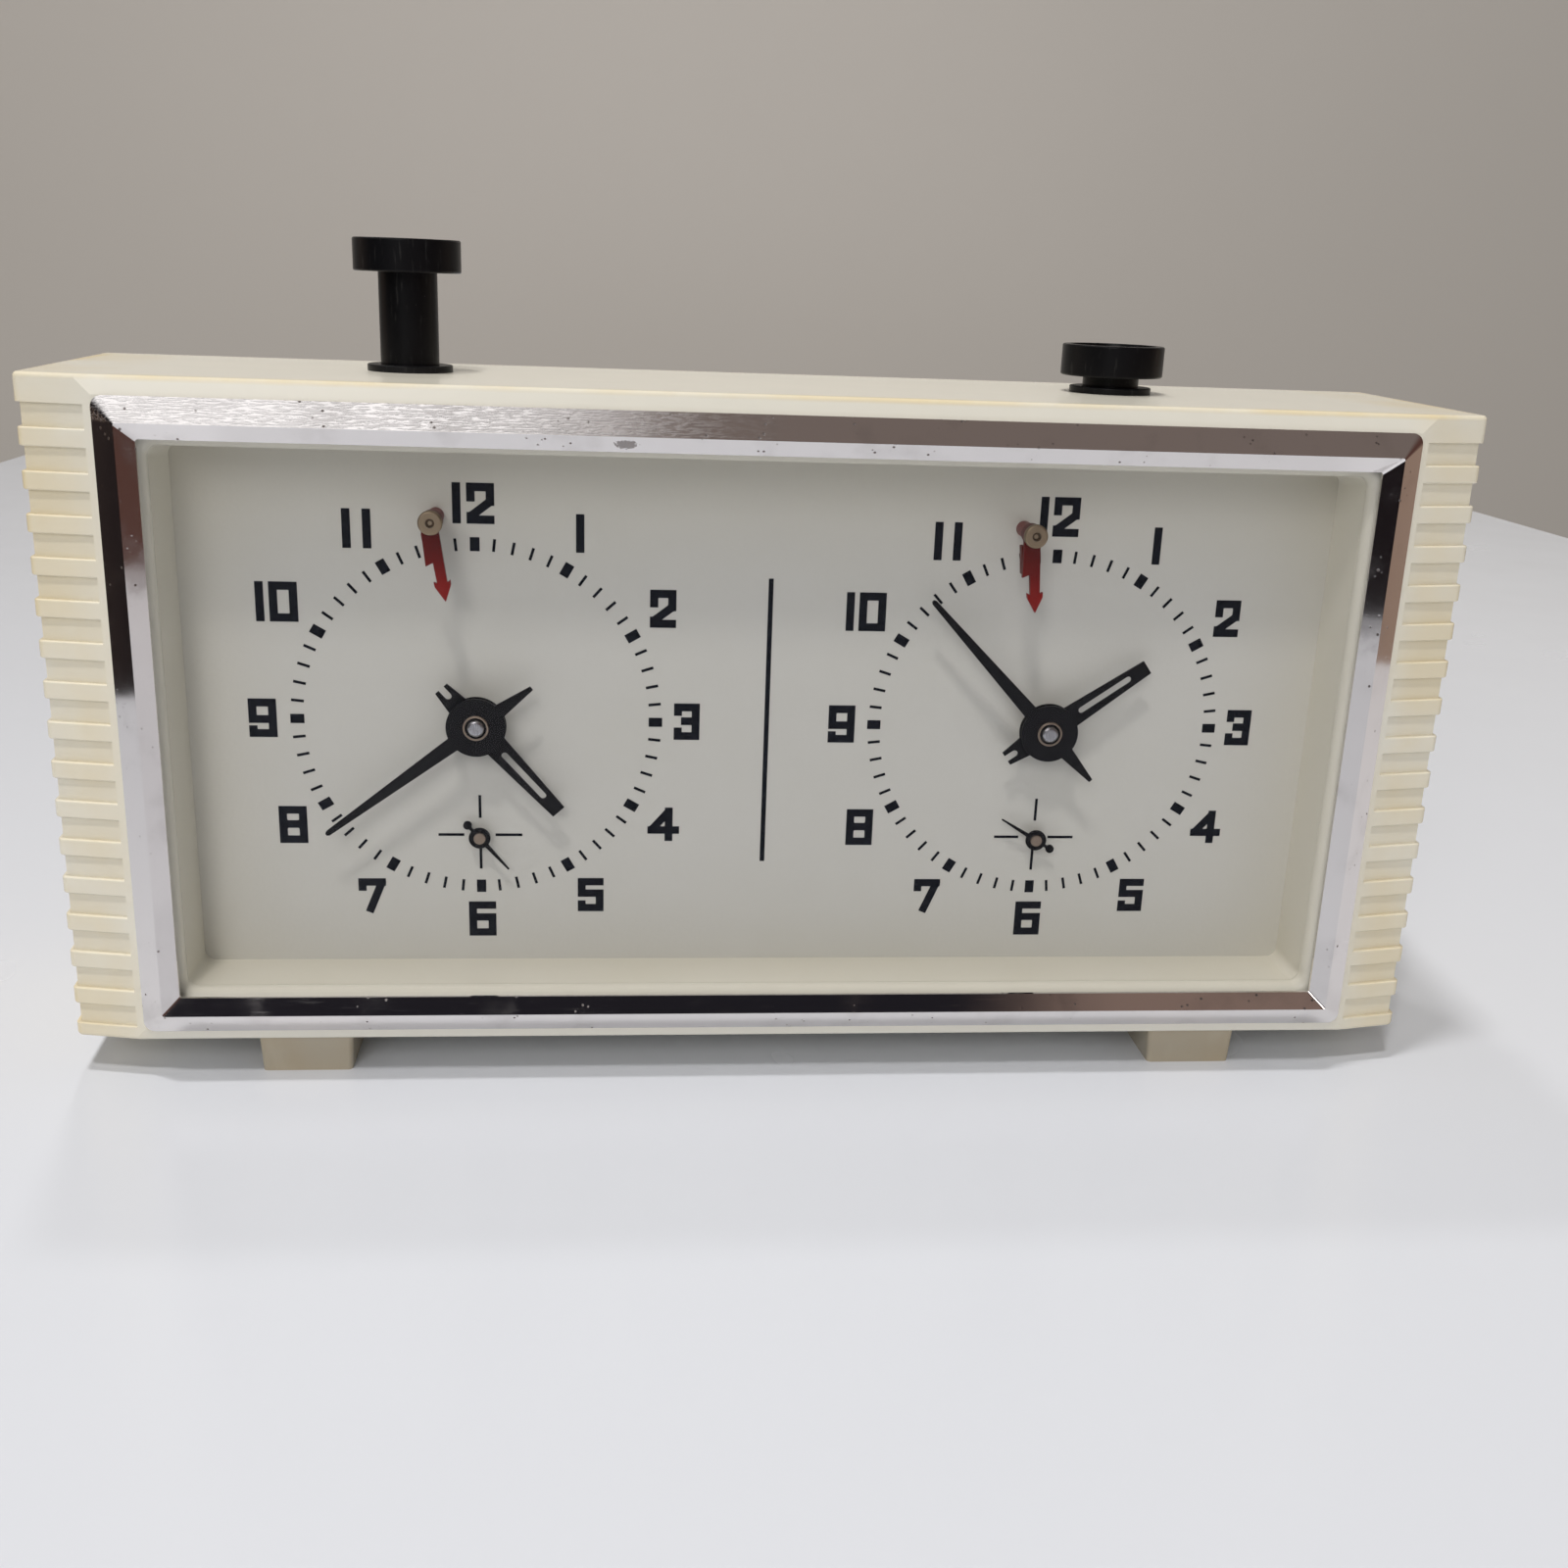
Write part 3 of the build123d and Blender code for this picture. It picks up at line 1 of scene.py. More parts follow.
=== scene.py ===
import bpy
import json
from math import atan2, cos, hypot, pi, radians, sin
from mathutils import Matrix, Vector


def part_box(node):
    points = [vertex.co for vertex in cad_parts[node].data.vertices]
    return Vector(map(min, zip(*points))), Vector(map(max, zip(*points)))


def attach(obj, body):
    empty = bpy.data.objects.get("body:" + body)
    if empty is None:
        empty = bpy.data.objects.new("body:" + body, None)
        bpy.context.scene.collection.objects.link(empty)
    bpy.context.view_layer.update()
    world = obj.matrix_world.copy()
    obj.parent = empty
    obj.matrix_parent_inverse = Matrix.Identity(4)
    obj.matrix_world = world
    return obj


# Twin-dial mechanical game clock, in metres, in the frame of its CAD model.
# X runs to the right, Y from the front to the back, Z up.
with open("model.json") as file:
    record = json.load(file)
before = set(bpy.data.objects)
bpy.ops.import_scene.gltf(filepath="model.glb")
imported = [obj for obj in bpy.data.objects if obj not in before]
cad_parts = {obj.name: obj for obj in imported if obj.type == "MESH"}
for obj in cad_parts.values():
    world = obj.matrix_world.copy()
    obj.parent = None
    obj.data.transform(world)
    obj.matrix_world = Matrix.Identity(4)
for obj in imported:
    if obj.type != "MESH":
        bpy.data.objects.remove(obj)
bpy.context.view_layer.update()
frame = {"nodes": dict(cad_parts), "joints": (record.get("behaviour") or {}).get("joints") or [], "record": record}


# ---------------------------------------------------------------- camera
# One camera a little left of the middle, close to the clock and above its dials.
# It looks slightly down, and is rolled by about two degrees.
bpy.ops.object.select_all(action="DESELECT")
bpy.ops.object.camera_add(
    location=(-0.0237, -0.2861, 0.1305),
    rotation=(radians(72.728), radians(-2.058), radians(-5.225)),
)
camera = bpy.context.object
camera.data.lens = 37.61
camera.data.sensor_width = 36.0
camera.data.clip_start = 0.01
bpy.context.scene.camera = camera


# ---------------------------------------------------------------- finishes: how they are written
# A Value stands for a number, vector or colour inside a material. Sums with it add Math nodes,
# and node() adds any other node from its type, settings and inputs.
mm = 0.001


class Value:
    def __init__(self, tree, socket):
        self.tree = tree
        self.socket = socket

    def node(self, kind, settings, inputs, output=0):
        made = self.tree.nodes.new(kind)
        for key, setting in settings.items():
            setattr(made, key, setting)
        for key, given in inputs.items():
            if isinstance(given, Value):
                self.tree.links.new(given.socket, made.inputs[key])
            else:
                made.inputs[key].default_value = given
        return Value(self.tree, made.outputs[output])

    def math(self, operation, first, second=0.0, clamp=False):
        return self.node("ShaderNodeMath", {"operation": operation, "use_clamp": clamp},
                         {0: first, 1: second})

    def __add__(self, other):
        return self.math("ADD", self, other)

    def __radd__(self, other):
        return self.math("ADD", other, self)

    def __sub__(self, other):
        return self.math("SUBTRACT", self, other)

    def __rsub__(self, other):
        return self.math("SUBTRACT", other, self)

    def __mul__(self, other):
        return self.math("MULTIPLY", self, other)

    def __truediv__(self, other):
        return self.math("DIVIDE", self, other)

    def __pow__(self, other):
        return self.math("POWER", self, other)

    def __abs__(self):
        return self.math("ABSOLUTE", self)

    def ramp(self, low, high):
        """0 below low, 1 above high, smooth between them."""
        return self.node("ShaderNodeMapRange", {"interpolation_type": "SMOOTHSTEP"},
                         {"Value": self, "From Min": low, "From Max": high})

    def blend(self, first, second):
        """The first colour where this is 0, the second where it is 1."""
        return self.node("ShaderNodeMix", {"data_type": "RGBA"}, {0: self, 6: first, 7: second}, 2)

    def stretch(self, x, y, z):
        return self.node("ShaderNodeVectorMath", {"operation": "MULTIPLY"}, {0: self, 1: (x, y, z)})

    def noise(self, size, detail):
        """Cloudy pattern from 0 to 1, its features about size millimetres wide."""
        return self.node("ShaderNodeTexNoise", {},
                         {"Vector": self, "Scale": 1.0 / size, "Detail": detail})

    def cells(self, size):
        """Distance to scattered points about size millimetres apart."""
        return self.node("ShaderNodeTexVoronoi", {}, {"Vector": self, "Scale": 1.0 / size})

    def axis(self, name):
        return self.node("ShaderNodeSeparateXYZ", {}, {0: self}, name)


# A Finish is one material. Its place is the Value of the point on the object, in millimetres.
class Finish:
    def __init__(self, name, colour, **sockets):
        self.material = bpy.data.materials.new(name)
        self.material.use_nodes = True
        self.tree = self.material.node_tree
        self.shader = self.tree.nodes["Principled BSDF"]
        coordinates = self.tree.nodes.new("ShaderNodeTexCoord")
        metres = Value(self.tree, coordinates.outputs["Object"])
        self.place = metres.stretch(1 / mm, 1 / mm, 1 / mm)
        self.set(base_color=(*colour, 1.0), **sockets)

    def set(self, **sockets):
        names = {socket.name.lower().replace(" ", "_"): socket for socket in self.shader.inputs}
        for key, given in sockets.items():
            if isinstance(given, Value):
                self.tree.links.new(given.socket, names[key])
            else:
                names[key].default_value = given

    def relief(self, height, depth, strength):
        """Bump of a height pattern from 0 to 1, depth millimetres from low to high."""
        self.set(normal=height.node("ShaderNodeBump", {}, {
            "Strength": strength, "Distance": depth * mm, "Height": height}))


# ---------------------------------------------------------------- finishes: case plastics
# Old ivory plastic: cloudy, a little glossy, and yellowed on the ends and where hands hold it.
# The case, its feet and the back cover each have their own fresh and aged colour; the feet's are darker, painted
# shade under the case.
def ivory(name, fresh, aged, age_from):
    made = Finish(name, fresh, roughness=0.3, specular_ior_level=0.36,
                  coat_weight=0.1, coat_roughness=0.12)
    at = made.place
    cloud = at.noise(22.0, 4.0)
    grain = at.stretch(1.0, 1.0, 0.35).noise(6.0, 3.0)
    ends = abs(at.axis("X")).ramp(age_from, age_from + 10.0)
    edge = abs(at.axis("X")).ramp(111.8, 113.4)
    rim = at.axis("Z").ramp(112.1, 112.8) * at.axis("Y").ramp(-30.5, -32.0)
    age = (ends * 0.5 + edge * 0.5 + rim * 0.7) * cloud.ramp(0.25, 0.7) + (cloud - 0.5) * 0.05
    body = age.math("ADD", age, 0.0, True).blend((*fresh, 1.0), (*aged, 1.0))
    milk = (grain.ramp(0.42, 0.72) * 0.1).blend(body, (0.9, 0.87, 0.74, 1.0))
    marks = at.stretch(0.3, 0.3, 0.3).noise(0.9, 2.0).ramp(0.66, 0.92)
    made.set(base_color=milk, roughness=0.25 + marks * 0.01 + cloud * 0.03)
    made.relief(at.noise(1.8, 2.0) * 0.02 + at.noise(22.0, 1.0) * 0.5, 0.02, 0.4)
    return made


case_ivory = ivory("case_ivory", (0.81, 0.785, 0.69), (0.78, 0.64, 0.36), 98.0)
# The feet's darker colours are painted shade under the overhanging case.
foot_ivory = ivory("foot_ivory", (0.44, 0.395, 0.31), (0.42, 0.33, 0.20), 60.0)
cover_ivory = ivory("cover_ivory", (0.80, 0.77, 0.67), (0.78, 0.66, 0.42), 104.0)

# The surround is a fresher, greener cream, kept clean behind the glass.
surround_cream = Finish("surround_cream", (0.77, 0.775, 0.66), roughness=0.36)
cream_at = surround_cream.place
surround_cream.set(
    base_color=cream_at.noise(16.0, 3.0).blend((0.78, 0.755, 0.67, 1.0), (0.75, 0.72, 0.61, 1.0)),
    roughness=0.3 + cream_at.noise(5.0, 3.0) * 0.14,
)
surround_cream.relief(cream_at.noise(1.1, 2.0), 0.02, 0.4)

# The dial sheet is sprayed off-white, with the fine orange peel of old lacquer.
dial_white = Finish("dial_white", (0.63, 0.625, 0.59), roughness=0.42)
sheet_at = dial_white.place
sheet_tone = sheet_at.noise(30.0, 4.0).blend((0.645, 0.64, 0.61, 1.0), (0.615, 0.61, 0.56, 1.0))
# Painted shade: the sheet is darker and yellower towards its outer sides and top, where the surround shades it.
sheet_painted_shade = abs(sheet_at.axis("X")).ramp(70.0, 108.0) * 0.5 + sheet_at.axis("Z").ramp(78.0, 108.0) * 0.5
dial_white.set(
    base_color=sheet_painted_shade.blend(sheet_tone, (0.57, 0.535, 0.435, 1.0)),
    roughness=0.36 + sheet_at.noise(3.0, 3.0) * 0.16,
)
dial_white.relief(sheet_at.noise(0.75, 3.0) + sheet_at.noise(2.4, 2.0), 0.05, 0.55)

# Printing ink, navy black and slightly uneven.
dial_ink = Finish("dial_ink", (0.008, 0.009, 0.016), roughness=0.6, specular_ior_level=0.08)
ink_at = dial_ink.place
dial_ink.set(base_color=ink_at.noise(0.8, 4.0).ramp(0.35, 0.8).blend(
    (0.003, 0.004, 0.008, 1.0), (0.010, 0.012, 0.020, 1.0)))
dial_ink.relief(ink_at.noise(0.3, 2.0), 0.01, 0.5)


# ---------------------------------------------------------------- finishes: bright metals
# Bezel plating: thin rolled sheet, slightly wavy and leaning back, with pits and dull smudges.
# One rubbed spot stands on the top bar, and the plating is worn along its left half.
bezel_chrome = Finish("bezel_chrome", (0.80, 0.77, 0.76), metallic=1.0, roughness=0.1)
plate_at = bezel_chrome.place
haze = plate_at.noise(9.0, 5.0).ramp(0.5, 0.78)
pit_spot = plate_at.cells(1.7).ramp(0.17, 0.08)
pit_kept = plate_at.noise(9.0, 1.0).ramp(0.52, 0.6)
spot_x = -23.6
spot_z = 105.3
rub_x = (plate_at.axis("X") - spot_x) / 1.7
rub_z = (plate_at.axis("Z") - spot_z) / 0.7
rubbed = (rub_x * rub_x + rub_z * rub_z + plate_at.noise(0.4, 4.0) * 3.4).ramp(2.8, 2.4)
scattered = pit_spot * pit_kept
pits = scattered.math("MAXIMUM", scattered, rubbed * 0.85)
scratches = plate_at.stretch(0.05, 1.0, 1.0).noise(0.35, 2.0).ramp(0.62, 0.74)
on_top = plate_at.axis("Z").ramp(106.3, 106.9)
to_left = plate_at.axis("X").ramp(25.0, -55.0)
worn = on_top * to_left * plate_at.stretch(0.14, 1.0, 1.0).noise(0.25, 4.0).ramp(0.4, 0.6)
bezel_chrome.set(
    base_color=(pits * 0.75 + haze * 0.18).blend((0.80, 0.77, 0.76, 1.0), (0.09, 0.065, 0.055, 1.0)),
    roughness=0.06 + haze * 0.1 + pits * 0.35 + scratches * 0.06 + worn * 0.24,
)
lean = plate_at.axis("Z") * 1.7
bezel_chrome.relief(plate_at.noise(13.0, 2.0) - pits * 0.4 + worn * 0.4 - lean, 0.03, 0.6)


def brushed(name, colour, dark, rough, grain=(1.0, 1.0, 0.06)):
    """Machined metal with fine lines along one direction, and some tarnish."""
    made = Finish(name, colour, metallic=1.0, roughness=rough)
    at = made.place
    lines = at.stretch(*grain).noise(0.16, 3.0)
    tarnish = at.noise(4.5, 5.0).ramp(0.45, 0.8)
    made.set(
        base_color=(tarnish * 0.55).blend((*colour, 1.0), (*dark, 1.0)),
        roughness=rough + lines * 0.12 + tarnish * 0.14,
    )
    made.relief(lines, 0.01, 0.4)
    return made


plate_steel = brushed("plate_steel", (0.60, 0.60, 0.58), (0.36, 0.33, 0.29), 0.28)
train_brass = brushed("train_brass", (0.78, 0.58, 0.27), (0.42, 0.27, 0.12), 0.24)
spring_steel = brushed("spring_steel", (0.36, 0.36, 0.38), (0.20, 0.19, 0.20), 0.22)
pin_brass = brushed("pin_brass", (0.34, 0.25, 0.175), (0.12, 0.075, 0.05), 0.34)
key_nickel = brushed("key_nickel", (0.70, 0.67, 0.61), (0.42, 0.36, 0.28), 0.2, (1.0, 0.1, 1.0))


# ---------------------------------------------------------------- finishes: black and red parts
# Moulded black plastic with hairline scuffs and a little dust in its texture, then the small
# bright and red pieces that sit on the dials.
def black_plastic(name, colour, rough, scuff):
    made = Finish(name, colour, roughness=rough, specular_ior_level=0.16)
    at = made.place
    hairs = at.stretch(1.0, 1.0, 0.12).noise(0.5, 3.0).ramp(0.58, 0.78)
    dust = at.cells(1.3).ramp(0.09, 0.02) * at.noise(6.0, 2.0).ramp(0.5, 0.65)
    made.set(
        base_color=(hairs * scuff * 0.3 + dust * scuff).blend((*colour, 1.0), (0.16, 0.155, 0.15, 1.0)),
        roughness=rough + hairs * 0.18 + at.noise(7.0, 3.0) * 0.1,
    )
    made.relief(at.noise(0.6, 2.0) - hairs * 0.4, 0.012, 0.5)
    return made


plunger_black = black_plastic("plunger_black", (0.004, 0.004, 0.005), 0.26, 0.35)
collar_black = black_plastic("collar_black", (0.009, 0.009, 0.010), 0.3, 0.4)
knob_black = black_plastic("knob_black", (0.012, 0.012, 0.012), 0.34, 0.6)
hand_black = black_plastic("hand_black", (0.006, 0.006, 0.008), 0.36, 0.2)


# The joints give the middle of the dials, and from it the flag pins and the indicators.
hinges = {joint["name"]: joint["pos_m"] for joint in frame["joints"] if joint["type"] == "hinge"}
movement_x = -hinges["left_minute_turn"][0] / mm
dial_z = hinges["left_minute_turn"][2] / mm
pin_across = hinges["left_flag_lift"][0] / mm + movement_x
pin_up = hinges["left_flag_lift"][2] / mm - dial_z
indicator_up = hinges["left_fourth_turn"][2] / mm - dial_z


def from_point(at, across, up):
    """Distance from a point of each dial, given from the middle of that dial."""
    side = at.axis("X").math("SIGN", at.axis("X"))
    off_x = at.axis("X") - side * movement_x - across
    off_z = at.axis("Z") - dial_z - up
    return (off_x * off_x + off_z * off_z) ** 0.5


# The minute hand's bush has a bronze rim round its recess, and the indicator a bronze centre.
bush_step = 0.3
minute_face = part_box("minute_hand_left")[0][1] / mm + bush_step
bush_at = hand_black.place
bush_out = from_point(bush_at, 0.0, 0.0)
bush_front = bush_at.axis("Y").ramp(minute_face + 0.05, minute_face - 0.05)
bush_rim = bush_out.ramp(1.72, 1.8) * bush_out.ramp(2.14, 2.06) * bush_front
centre_dot = from_point(bush_at, 0.0, indicator_up).ramp(1.05, 0.9)
bare_metal = bush_rim.math("MAXIMUM", bush_rim, centre_dot)
hand_black.set(
    base_color=bare_metal.blend((0.003, 0.003, 0.005, 1.0), (0.30, 0.24, 0.19, 1.0)),
    metallic=bare_metal,
)

# Each pin carries a turned brass head with a dimple, and a red collar behind the head.
pin_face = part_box("flag_pins")[0][1] / mm
head_depth = 1.0
pin_at = pin_brass.place
pin_out = from_point(pin_at, pin_across, pin_up)
# Painted shade: the ring of the dimple and the rounded rim of the head are darkened in colour.
dimple_shade = pin_out.ramp(0.28, 0.38) * pin_out.ramp(0.76, 0.64)
head_rim_shade = pin_out.ramp(1.8, 2.02)
collar = pin_at.axis("Y").ramp(pin_face + head_depth, pin_face + head_depth + 0.15)
head_with_shade = (dimple_shade * 0.85 + head_rim_shade * 0.6).blend((0.32, 0.25, 0.17, 1.0), (0.05, 0.03, 0.02, 1.0))
pin_brass.set(
    base_color=collar.blend(head_with_shade, (0.16, 0.006, 0.005, 1.0)),
    metallic=1.0 - collar,
)

# The flags are moulded red plastic, painted darker towards the pin as shade.
flag_red = Finish("flag_red", (0.18, 0.010, 0.009), roughness=0.34, specular_ior_level=0.12)
flag_at = flag_red.place
past_pin_shade = from_point(flag_at, pin_across, pin_up).ramp(4.0, 12.0)
tip_tone = flag_at.noise(2.2, 3.0).blend((0.27, 0.012, 0.010, 1.0), (0.19, 0.010, 0.009, 1.0))
flag_red.set(
    base_color=past_pin_shade.blend((0.105, 0.008, 0.007, 1.0), tip_tone),
    roughness=0.3 + flag_at.noise(0.8, 2.0) * 0.14,
)


# ---------------------------------------------------------------- window glass
# Almost clear, and brighter in its reflections the more it is seen at a glancing angle.
# Faint greasy patches make the reflections softer.
clear_glass = Finish("clear_glass", (1.0, 1.0, 1.0))
glass_tree = clear_glass.tree
through = glass_tree.nodes.new("ShaderNodeBsdfTransparent")
through.inputs["Color"].default_value = (0.985, 0.985, 0.985, 1.0)
sheen = glass_tree.nodes.new("ShaderNodeBsdfGlossy")
pane = clear_glass.place
grease = pane.noise(26.0, 4.0).ramp(0.45, 0.8)
glass_tree.links.new((0.012 + grease * 0.05).socket, sheen.inputs["Roughness"])
facing = pane.node("ShaderNodeLayerWeight", {}, {"Blend": 0.5}, "Facing")
mixed = pane.node("ShaderNodeMixShader", {}, {
    0: facing ** 5.0 * 0.8 + 0.006,
    1: Value(glass_tree, through.outputs[0]),
    2: Value(glass_tree, sheen.outputs[0]),
})
glass_tree.links.new(mixed.socket, glass_tree.nodes["Material Output"].inputs["Surface"])
glass_tree.nodes.remove(clear_glass.shader)


# ---------------------------------------------------------------- finishes on the CAD nodes
# Each CAD node takes the finish of its own slot.
# The feet share a slot with the case but have a greyer, darker finish of their own: painted shade under the
# overhanging case.
finishes = {
    "case_ivory": case_ivory,
    "cover_ivory": cover_ivory,
    "bezel_chrome": bezel_chrome,
    "clear_glass": clear_glass,
    "surround_cream": surround_cream,
    "dial_white": dial_white,
    "plate_steel": plate_steel,
    "train_brass": train_brass,
    "spring_steel": spring_steel,
    "collar_black": collar_black,
    "plunger_black": plunger_black,
    "hand_black": hand_black,
    "flag_red": flag_red,
    "pin_brass": pin_brass,
    "key_nickel": key_nickel,
    "knob_black": knob_black,
}
slot_of = {part["node"]: part["material_slot"] for part in frame["record"]["subparts"]}
for name, node in frame["nodes"].items():
    node.data.materials.clear()
    node.data.materials.append(finishes[slot_of[name]].material)
frame["nodes"]["feet"].data.materials[0] = foot_ivory.material


# ---------------------------------------------------------------- dial printing
# The numbers, minute marks and the little cross of each dial are thin ink on the dial sheet.
# Both dials are printed alike. Lengths here are in millimetres from the middle of a dial.
dial_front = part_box("dial_plate")[0][1]
ink_height = 0.04
stroke_width = 1.34
tick_inner = 28.1
tick_outer = 30.35
hour_mark_width = 1.55
minute_mark_width = 0.46
divider_width = 0.8
divider_reach = 24.6
divider_x = 0.2
strokes = {
    "1": [[(0.5, 0), (0.5, 1)]],
    "2": [[(0, 0.68), (0, 1), (1, 1), (1, 0.56), (0, 0.1), (0, 0), (1, 0)]],
    "3": [[(0, 0.84), (0, 1), (1, 1), (1, 0), (0, 0), (0, 0.16)], [(0.4, 0.52), (1, 0.52)]],
    "4": [[(0.72, 0), (0.72, 1), (0, 0.28), (1, 0.28)]],
    "5": [[(1, 1), (0, 1), (0, 0.56), (1, 0.56), (1, 0), (0, 0), (0, 0.14)]],
    "6": [[(1, 1), (0, 1), (0, 0), (1, 0), (1, 0.56), (0, 0.56)]],
    "7": [[(0, 0.82), (0, 1), (1, 1), (0.35, 0)]],
    "8": [[(0.14, 0.52), (0, 0.64), (0, 1), (1, 1), (1, 0.64), (0.86, 0.52)],
          [(0.86, 0.52), (1, 0.4), (1, 0), (0, 0), (0, 0.4), (0.14, 0.52)],
          [(0.14, 0.52), (0.86, 0.52)]],
    "9": [[(1, 0.46), (0, 0.46), (0, 1), (1, 1), (1, 0), (0, 0), (0, 0.12)]],
    "0": [[(0, 0), (0, 1), (1, 1), (1, 0), (0, 0)]],
}
# each digit with its left, right, lower and upper edge
digits = [
    ("1", -3.45, -2.1, 32.5, 39.0),
    ("2", -1.2, 3.2, 32.5, 39.0),
    ("1", 16.1, 17.45, 28.2, 34.4),
    ("2", 28.1, 32.4, 16.1, 22.4),
    ("3", 32.3, 36.6, -3.0, 3.3),
    ("4", 28.1, 33.5, -21.0, -15.0),
    ("5", 16.3, 20.7, -33.9, -27.8),
    ("6", -2.2, 2.4, -38.4, -32.1),
    ("7", -20.6, -16.0, -34.4, -27.9),
    ("8", -33.1, -28.5, -21.6, -15.1),
    ("9", -37.0, -32.5, -3.2, 3.3),
    ("1", -34.85, -33.5, 16.1, 22.6),
    ("0", -32.7, -28.2, 16.1, 22.6),
    ("1", -20.8, -19.45, 28.2, 34.5),
    ("1", -17.6, -16.25, 28.2, 34.5),
]


def open_ink(name, x, z):
    """Start a printed piece whose marks are then added in edit mode; (x, z) is its zero point."""
    bpy.ops.object.select_all(action="DESELECT")
    bpy.ops.mesh.primitive_cube_add(size=1.0)
    ink = bpy.context.object
    ink.name = name
    bpy.ops.object.mode_set(mode="EDIT")
    bpy.ops.mesh.delete(type="VERT")
    ink["zero"] = (x, z)
    return ink


def mark(ink, start, end, width):
    """A bar of ink between two points of the dial."""
    zero_x, zero_z = ink["zero"]
    length = hypot(end[0] - start[0], end[1] - start[1])
    bpy.ops.mesh.primitive_cube_add(
        size=1.0,
        location=((zero_x + (start[0] + end[0]) / 2) * mm, dial_front,
                  (zero_z + (start[1] + end[1]) / 2) * mm),
        rotation=(0, -atan2(end[1] - start[1], end[0] - start[0]), 0),
        scale=(length * mm, 2 * ink_height * mm, width * mm),
    )


def close_ink(ink, round_off):
    """Join the marks that overlap, round their corners as ink spreads, and finish the piece."""
    bpy.ops.object.mode_set(mode="OBJECT")
    bpy.ops.object.select_all(action="DESELECT")
    first = ink.data.vertices[0].co
    bpy.ops.mesh.primitive_cube_add(size=0.1 * ink_height * mm, location=first)
    speck = bpy.context.object
    bpy.context.view_layer.objects.active = ink
    joined = ink.modifiers.new("joined", "BOOLEAN")
    joined.operation = "UNION"
    joined.solver = "EXACT"
    joined.use_self = True
    joined.object = speck
    bpy.ops.object.modifier_apply(modifier="joined")
    bpy.data.objects.remove(speck)
    rounded = ink.modifiers.new("rounded", "BEVEL")
    rounded.width = round_off * mm
    rounded.segments = 2
    rounded.limit_method = "WEIGHT"
    weights = ink.data.attributes.new("bevel_weight_edge", "FLOAT", "EDGE")
    for edge in ink.data.edges:
        start, end = (ink.data.vertices[corner].co for corner in edge.vertices)
        weights.data[edge.index].value = 1.0 if abs(start.y - end.y) > ink_height * mm else 0.0
    bpy.ops.object.modifier_apply(modifier="rounded")
    ink.data.materials.clear()
    ink.data.materials.append(dial_ink.material)


def print_digits(ink):
    """Draw each digit as square-cornered strokes."""
    half = stroke_width / 2
    for digit, left, right, low, high in digits:
        across = max(right - left - stroke_width, 0.0)
        up = high - low - stroke_width
        for line in strokes[digit]:
            points = [(left + half + x * across, low + half + z * up) for x, z in line]
            for start, end in zip(points, points[1:]):
                length = hypot(end[0] - start[0], end[1] - start[1])
                square = start[0] == end[0] or start[1] == end[1]
                over = half if square else 0.25 * stroke_width
                over_x = (end[0] - start[0]) / length * over
                over_z = (end[1] - start[1]) / length * over
                mark(ink, (start[0] - over_x, start[1] - over_z),
                     (end[0] + over_x, end[1] + over_z), stroke_width)


def print_scale(ink):
    """Sixty minute marks, the hour ones bold, and the cross of the running indicator."""
    for minute in range(60):
        turn = minute * pi / 30
        bold = minute % 5 == 0
        inner, outer = (tick_inner, tick_outer) if bold else (tick_inner + 0.1, tick_outer - 0.1)
        mark(ink, (inner * sin(turn), inner * cos(turn)), (outer * sin(turn), outer * cos(turn)),
             hour_mark_width if bold else minute_mark_width)
    for start, end in (((0, 7.0), (0, 3.0)), ((0, -2.3), (0, -6.1)),
                       ((-7.0, 0), (-2.7, 0)), ((2.5, 0), (7.0, 0))):
        mark(ink, (start[0], start[1] + indicator_up), (end[0], end[1] + indicator_up),
             minute_mark_width)


for side, sign in (("left", -1), ("right", 1)):
    numbers = open_ink(f"numbers_{side}", sign * movement_x, dial_z)
    print_digits(numbers)
    close_ink(numbers, 0.22)
    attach(numbers, "case")
    scale = open_ink(f"minute_scale_{side}", sign * movement_x, dial_z)
    print_scale(scale)
    close_ink(scale, 0.1)
    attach(scale, "case")

divider = open_ink("divider_line", divider_x, dial_z)
mark(divider, (0, -divider_reach), (0, divider_reach), divider_width)
close_ink(divider, 0.15)
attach(divider, "case")


# ---------------------------------------------------------------- table and room
# A glossy pale table top whose right edge shows behind the clock, and a warm grey room.
# The table is painted lighter towards its right as a pool of light, and the room wall is faintly mottled.
def stage_finish(name, colour, rough, patch):
    made = Finish(name, colour, roughness=rough)
    made.set(roughness=rough + made.place.noise(patch, 3.0) * 0.08)
    return made


table_white = stage_finish("table_white", (0.755, 0.785, 0.845), 0.22, 60.0)
# Painted light: the table top's colour brightens towards its right.
table_white.set(base_color=table_white.place.axis("X").ramp(40.0, 420.0).blend(
    (0.75, 0.78, 0.84, 1.0), (0.90, 0.93, 0.985, 1.0)))
room_grey = stage_finish("room_grey", (0.80, 0.755, 0.70), 0.85, 300.0)
room_grey.set(base_color=room_grey.place.noise(900.0, 3.0).blend(
    (0.80, 0.755, 0.70, 1.0), (0.752, 0.7097, 0.658, 1.0)))

bpy.ops.object.select_all(action="DESELECT")
table_thickness = 0.02
bpy.ops.mesh.primitive_cube_add(size=1.0, location=(0.055, 0.2, -table_thickness / 2),
                                scale=(0.95, 3.0, table_thickness))
table = bpy.context.object
table.name = "table_top"
bpy.ops.object.transform_apply(location=True, rotation=True, scale=True)
rim = table.modifiers.new("rim", "BEVEL")
rim.width = 0.006
rim.segments = 4
bpy.ops.object.modifier_apply(modifier="rim")
table.data.materials.append(table_white.material)

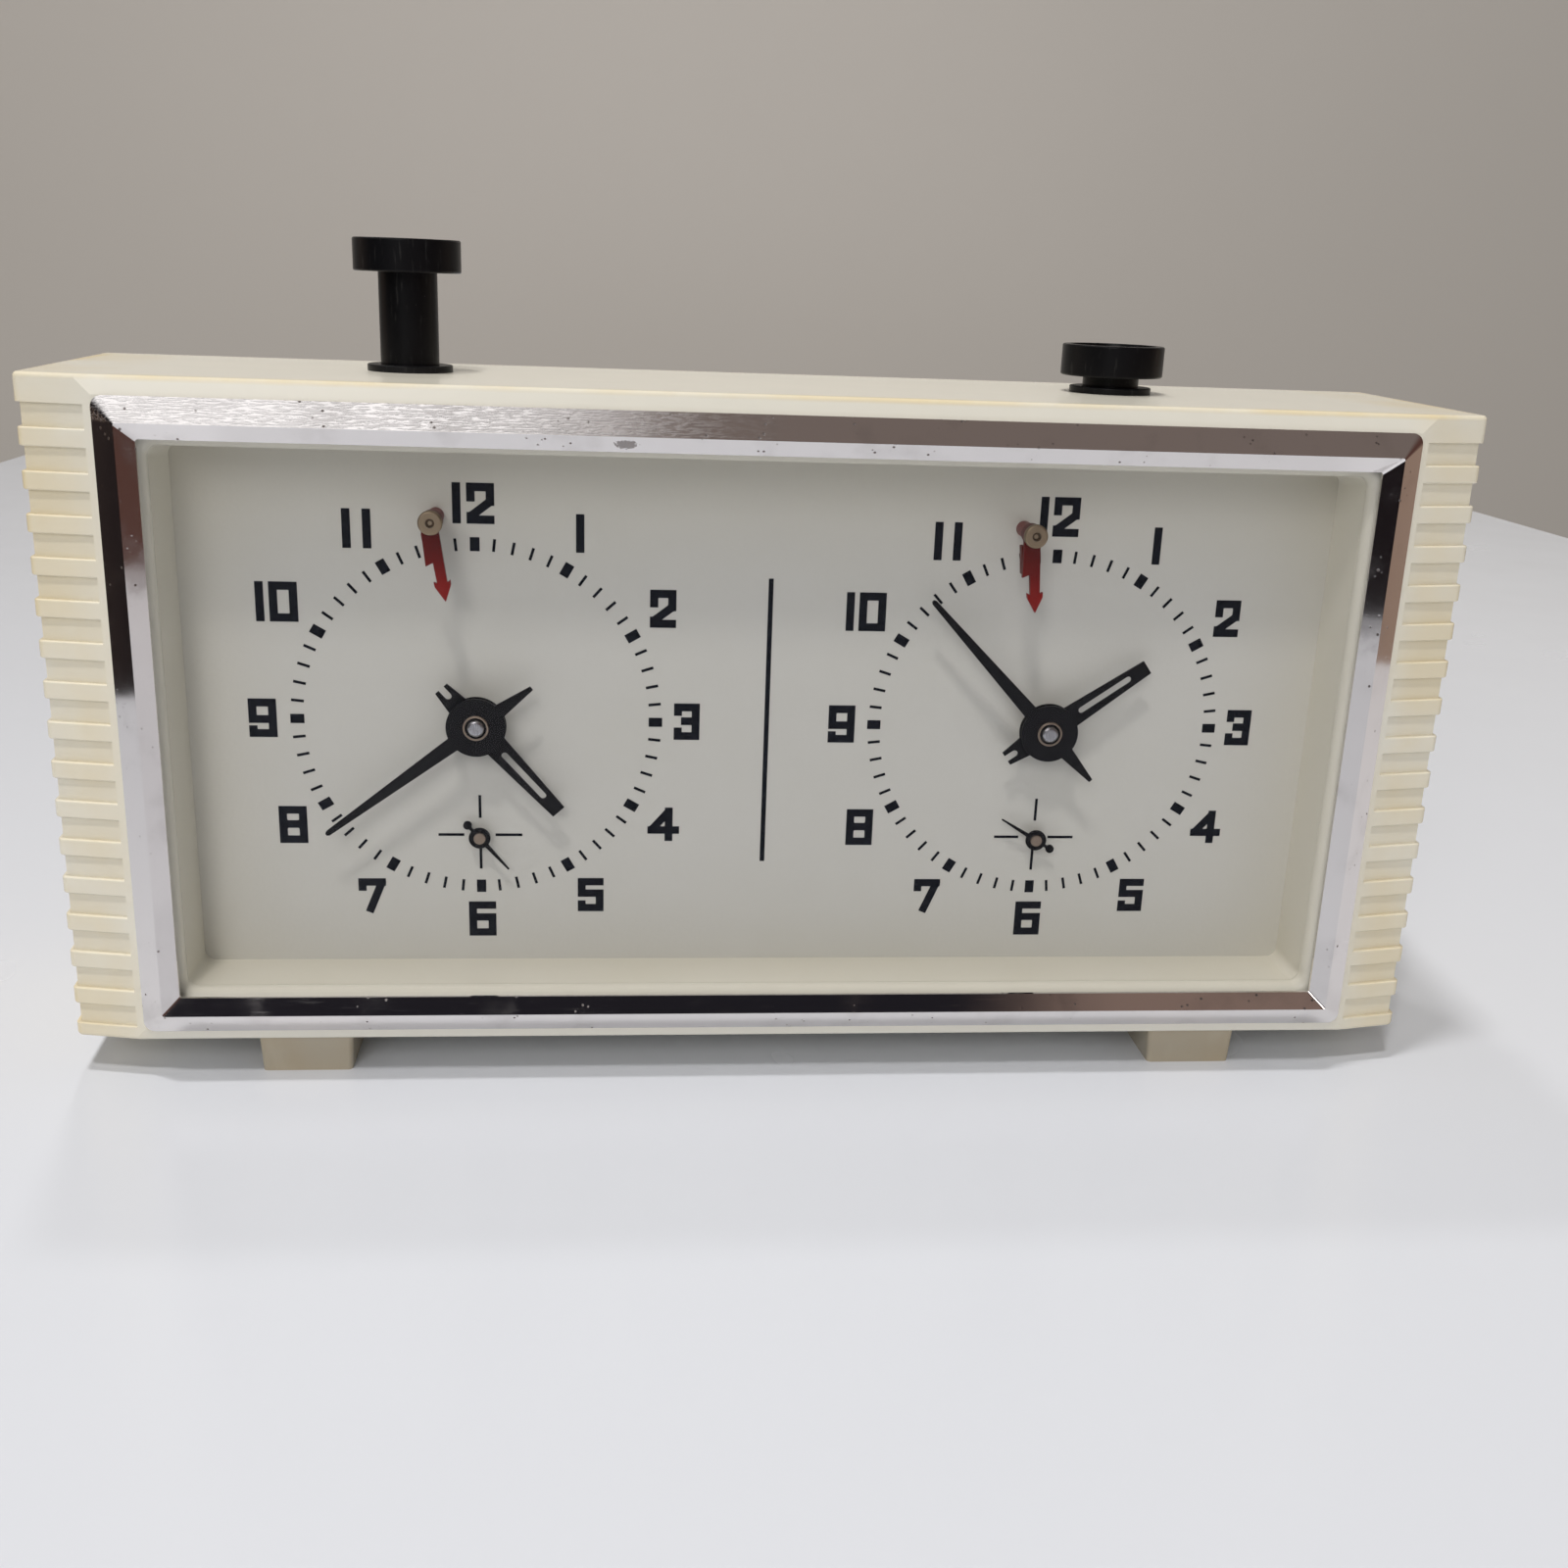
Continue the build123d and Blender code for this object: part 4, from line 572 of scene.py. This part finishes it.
bpy.ops.object.select_all(action="DESELECT")
bpy.ops.mesh.primitive_plane_add(size=9.0, location=(0, 2.0, 0.8), rotation=(pi / 2, 0, 0))
wall = bpy.context.object
wall.name = "room_wall"
bpy.ops.object.transform_apply(location=True, rotation=True, scale=True)
wall.data.materials.append(room_grey.material)


# ---------------------------------------------------------------- light
# A lamp overhead, a weak one behind the clock, a small one in front that throws the shadows of
# the hands, a large low fill, and the dim room that the bright trim reflects.
def lamp(name, place, aim, size, power, colour, mirrored):
    bpy.ops.object.light_add(type="AREA", location=place)
    made = bpy.context.object
    made.name = name
    made.data.shape = "DISK"
    made.data.size = size
    made.data.energy = power
    made.data.color = colour
    made.visible_glossy = mirrored
    made.rotation_euler = (Vector(aim) - Vector(place)).to_track_quat("-Z", "Y").to_euler()


lamp("overhead_lamp", (-0.3, -0.25, 2.0), (0, 0, 0.05), 0.2, 13.6, (1.0, 0.97, 0.94), False)
lamp("far_lamp", (-0.25, 0.8, 1.9), (0, 0, 0.05), 0.15, 4.2, (1.0, 0.97, 0.94), False)
lamp("front_lamp", (-0.3, -0.87, 1.85), (0, 0, 0.05), 0.2, 11.4, (1.0, 0.965, 0.93), False)
lamp("fill_lamp", (-0.5, -1.6, 0.95), (0, 0, 0.05), 0.9, 8.6, (1.0, 0.97, 0.95), True)

world = bpy.data.worlds.new("room")
world.use_nodes = True
bpy.context.scene.world = world
air = world.node_tree
direction = Value(air, air.nodes.new("ShaderNodeTexCoord").outputs["Generated"])
rise = direction.axis("Z").ramp(0.25, 0.7)
to_back = direction.axis("Y").ramp(-0.12, 0.16)
to_right = direction.axis("X").ramp(-0.5, 0.5)
dark_side = to_right.blend((0.012, 0.009, 0.010, 1.0), (0.095, 0.047, 0.038, 1.0))
around = to_back.blend(dark_side, (0.36, 0.26, 0.20, 1.0))
lit_left = direction.axis("X").ramp(0.05, -0.11)
lit = lit_left.blend((0.18, 0.145, 0.13, 1.0), (1.25, 1.24, 1.24, 1.0))
doorway = direction.axis("X").ramp(0.2, 0.3)
unlit = doorway.blend((0.014, 0.013, 0.017, 1.0), (0.22, 0.155, 0.13, 1.0))
ceiling = direction.axis("Y").ramp(-0.53, -0.47)
overhead = ceiling.blend(unlit, lit)
reflected = rise.blend(around, overhead)
glossy = direction.node("ShaderNodeLightPath", {}, {}, "Is Glossy Ray")
sky = glossy.blend((0.23, 0.224, 0.218, 1.0), reflected)
air.links.new(sky.socket, air.nodes["Background"].inputs["Color"])

bpy.context.scene.view_settings.view_transform = "Standard"
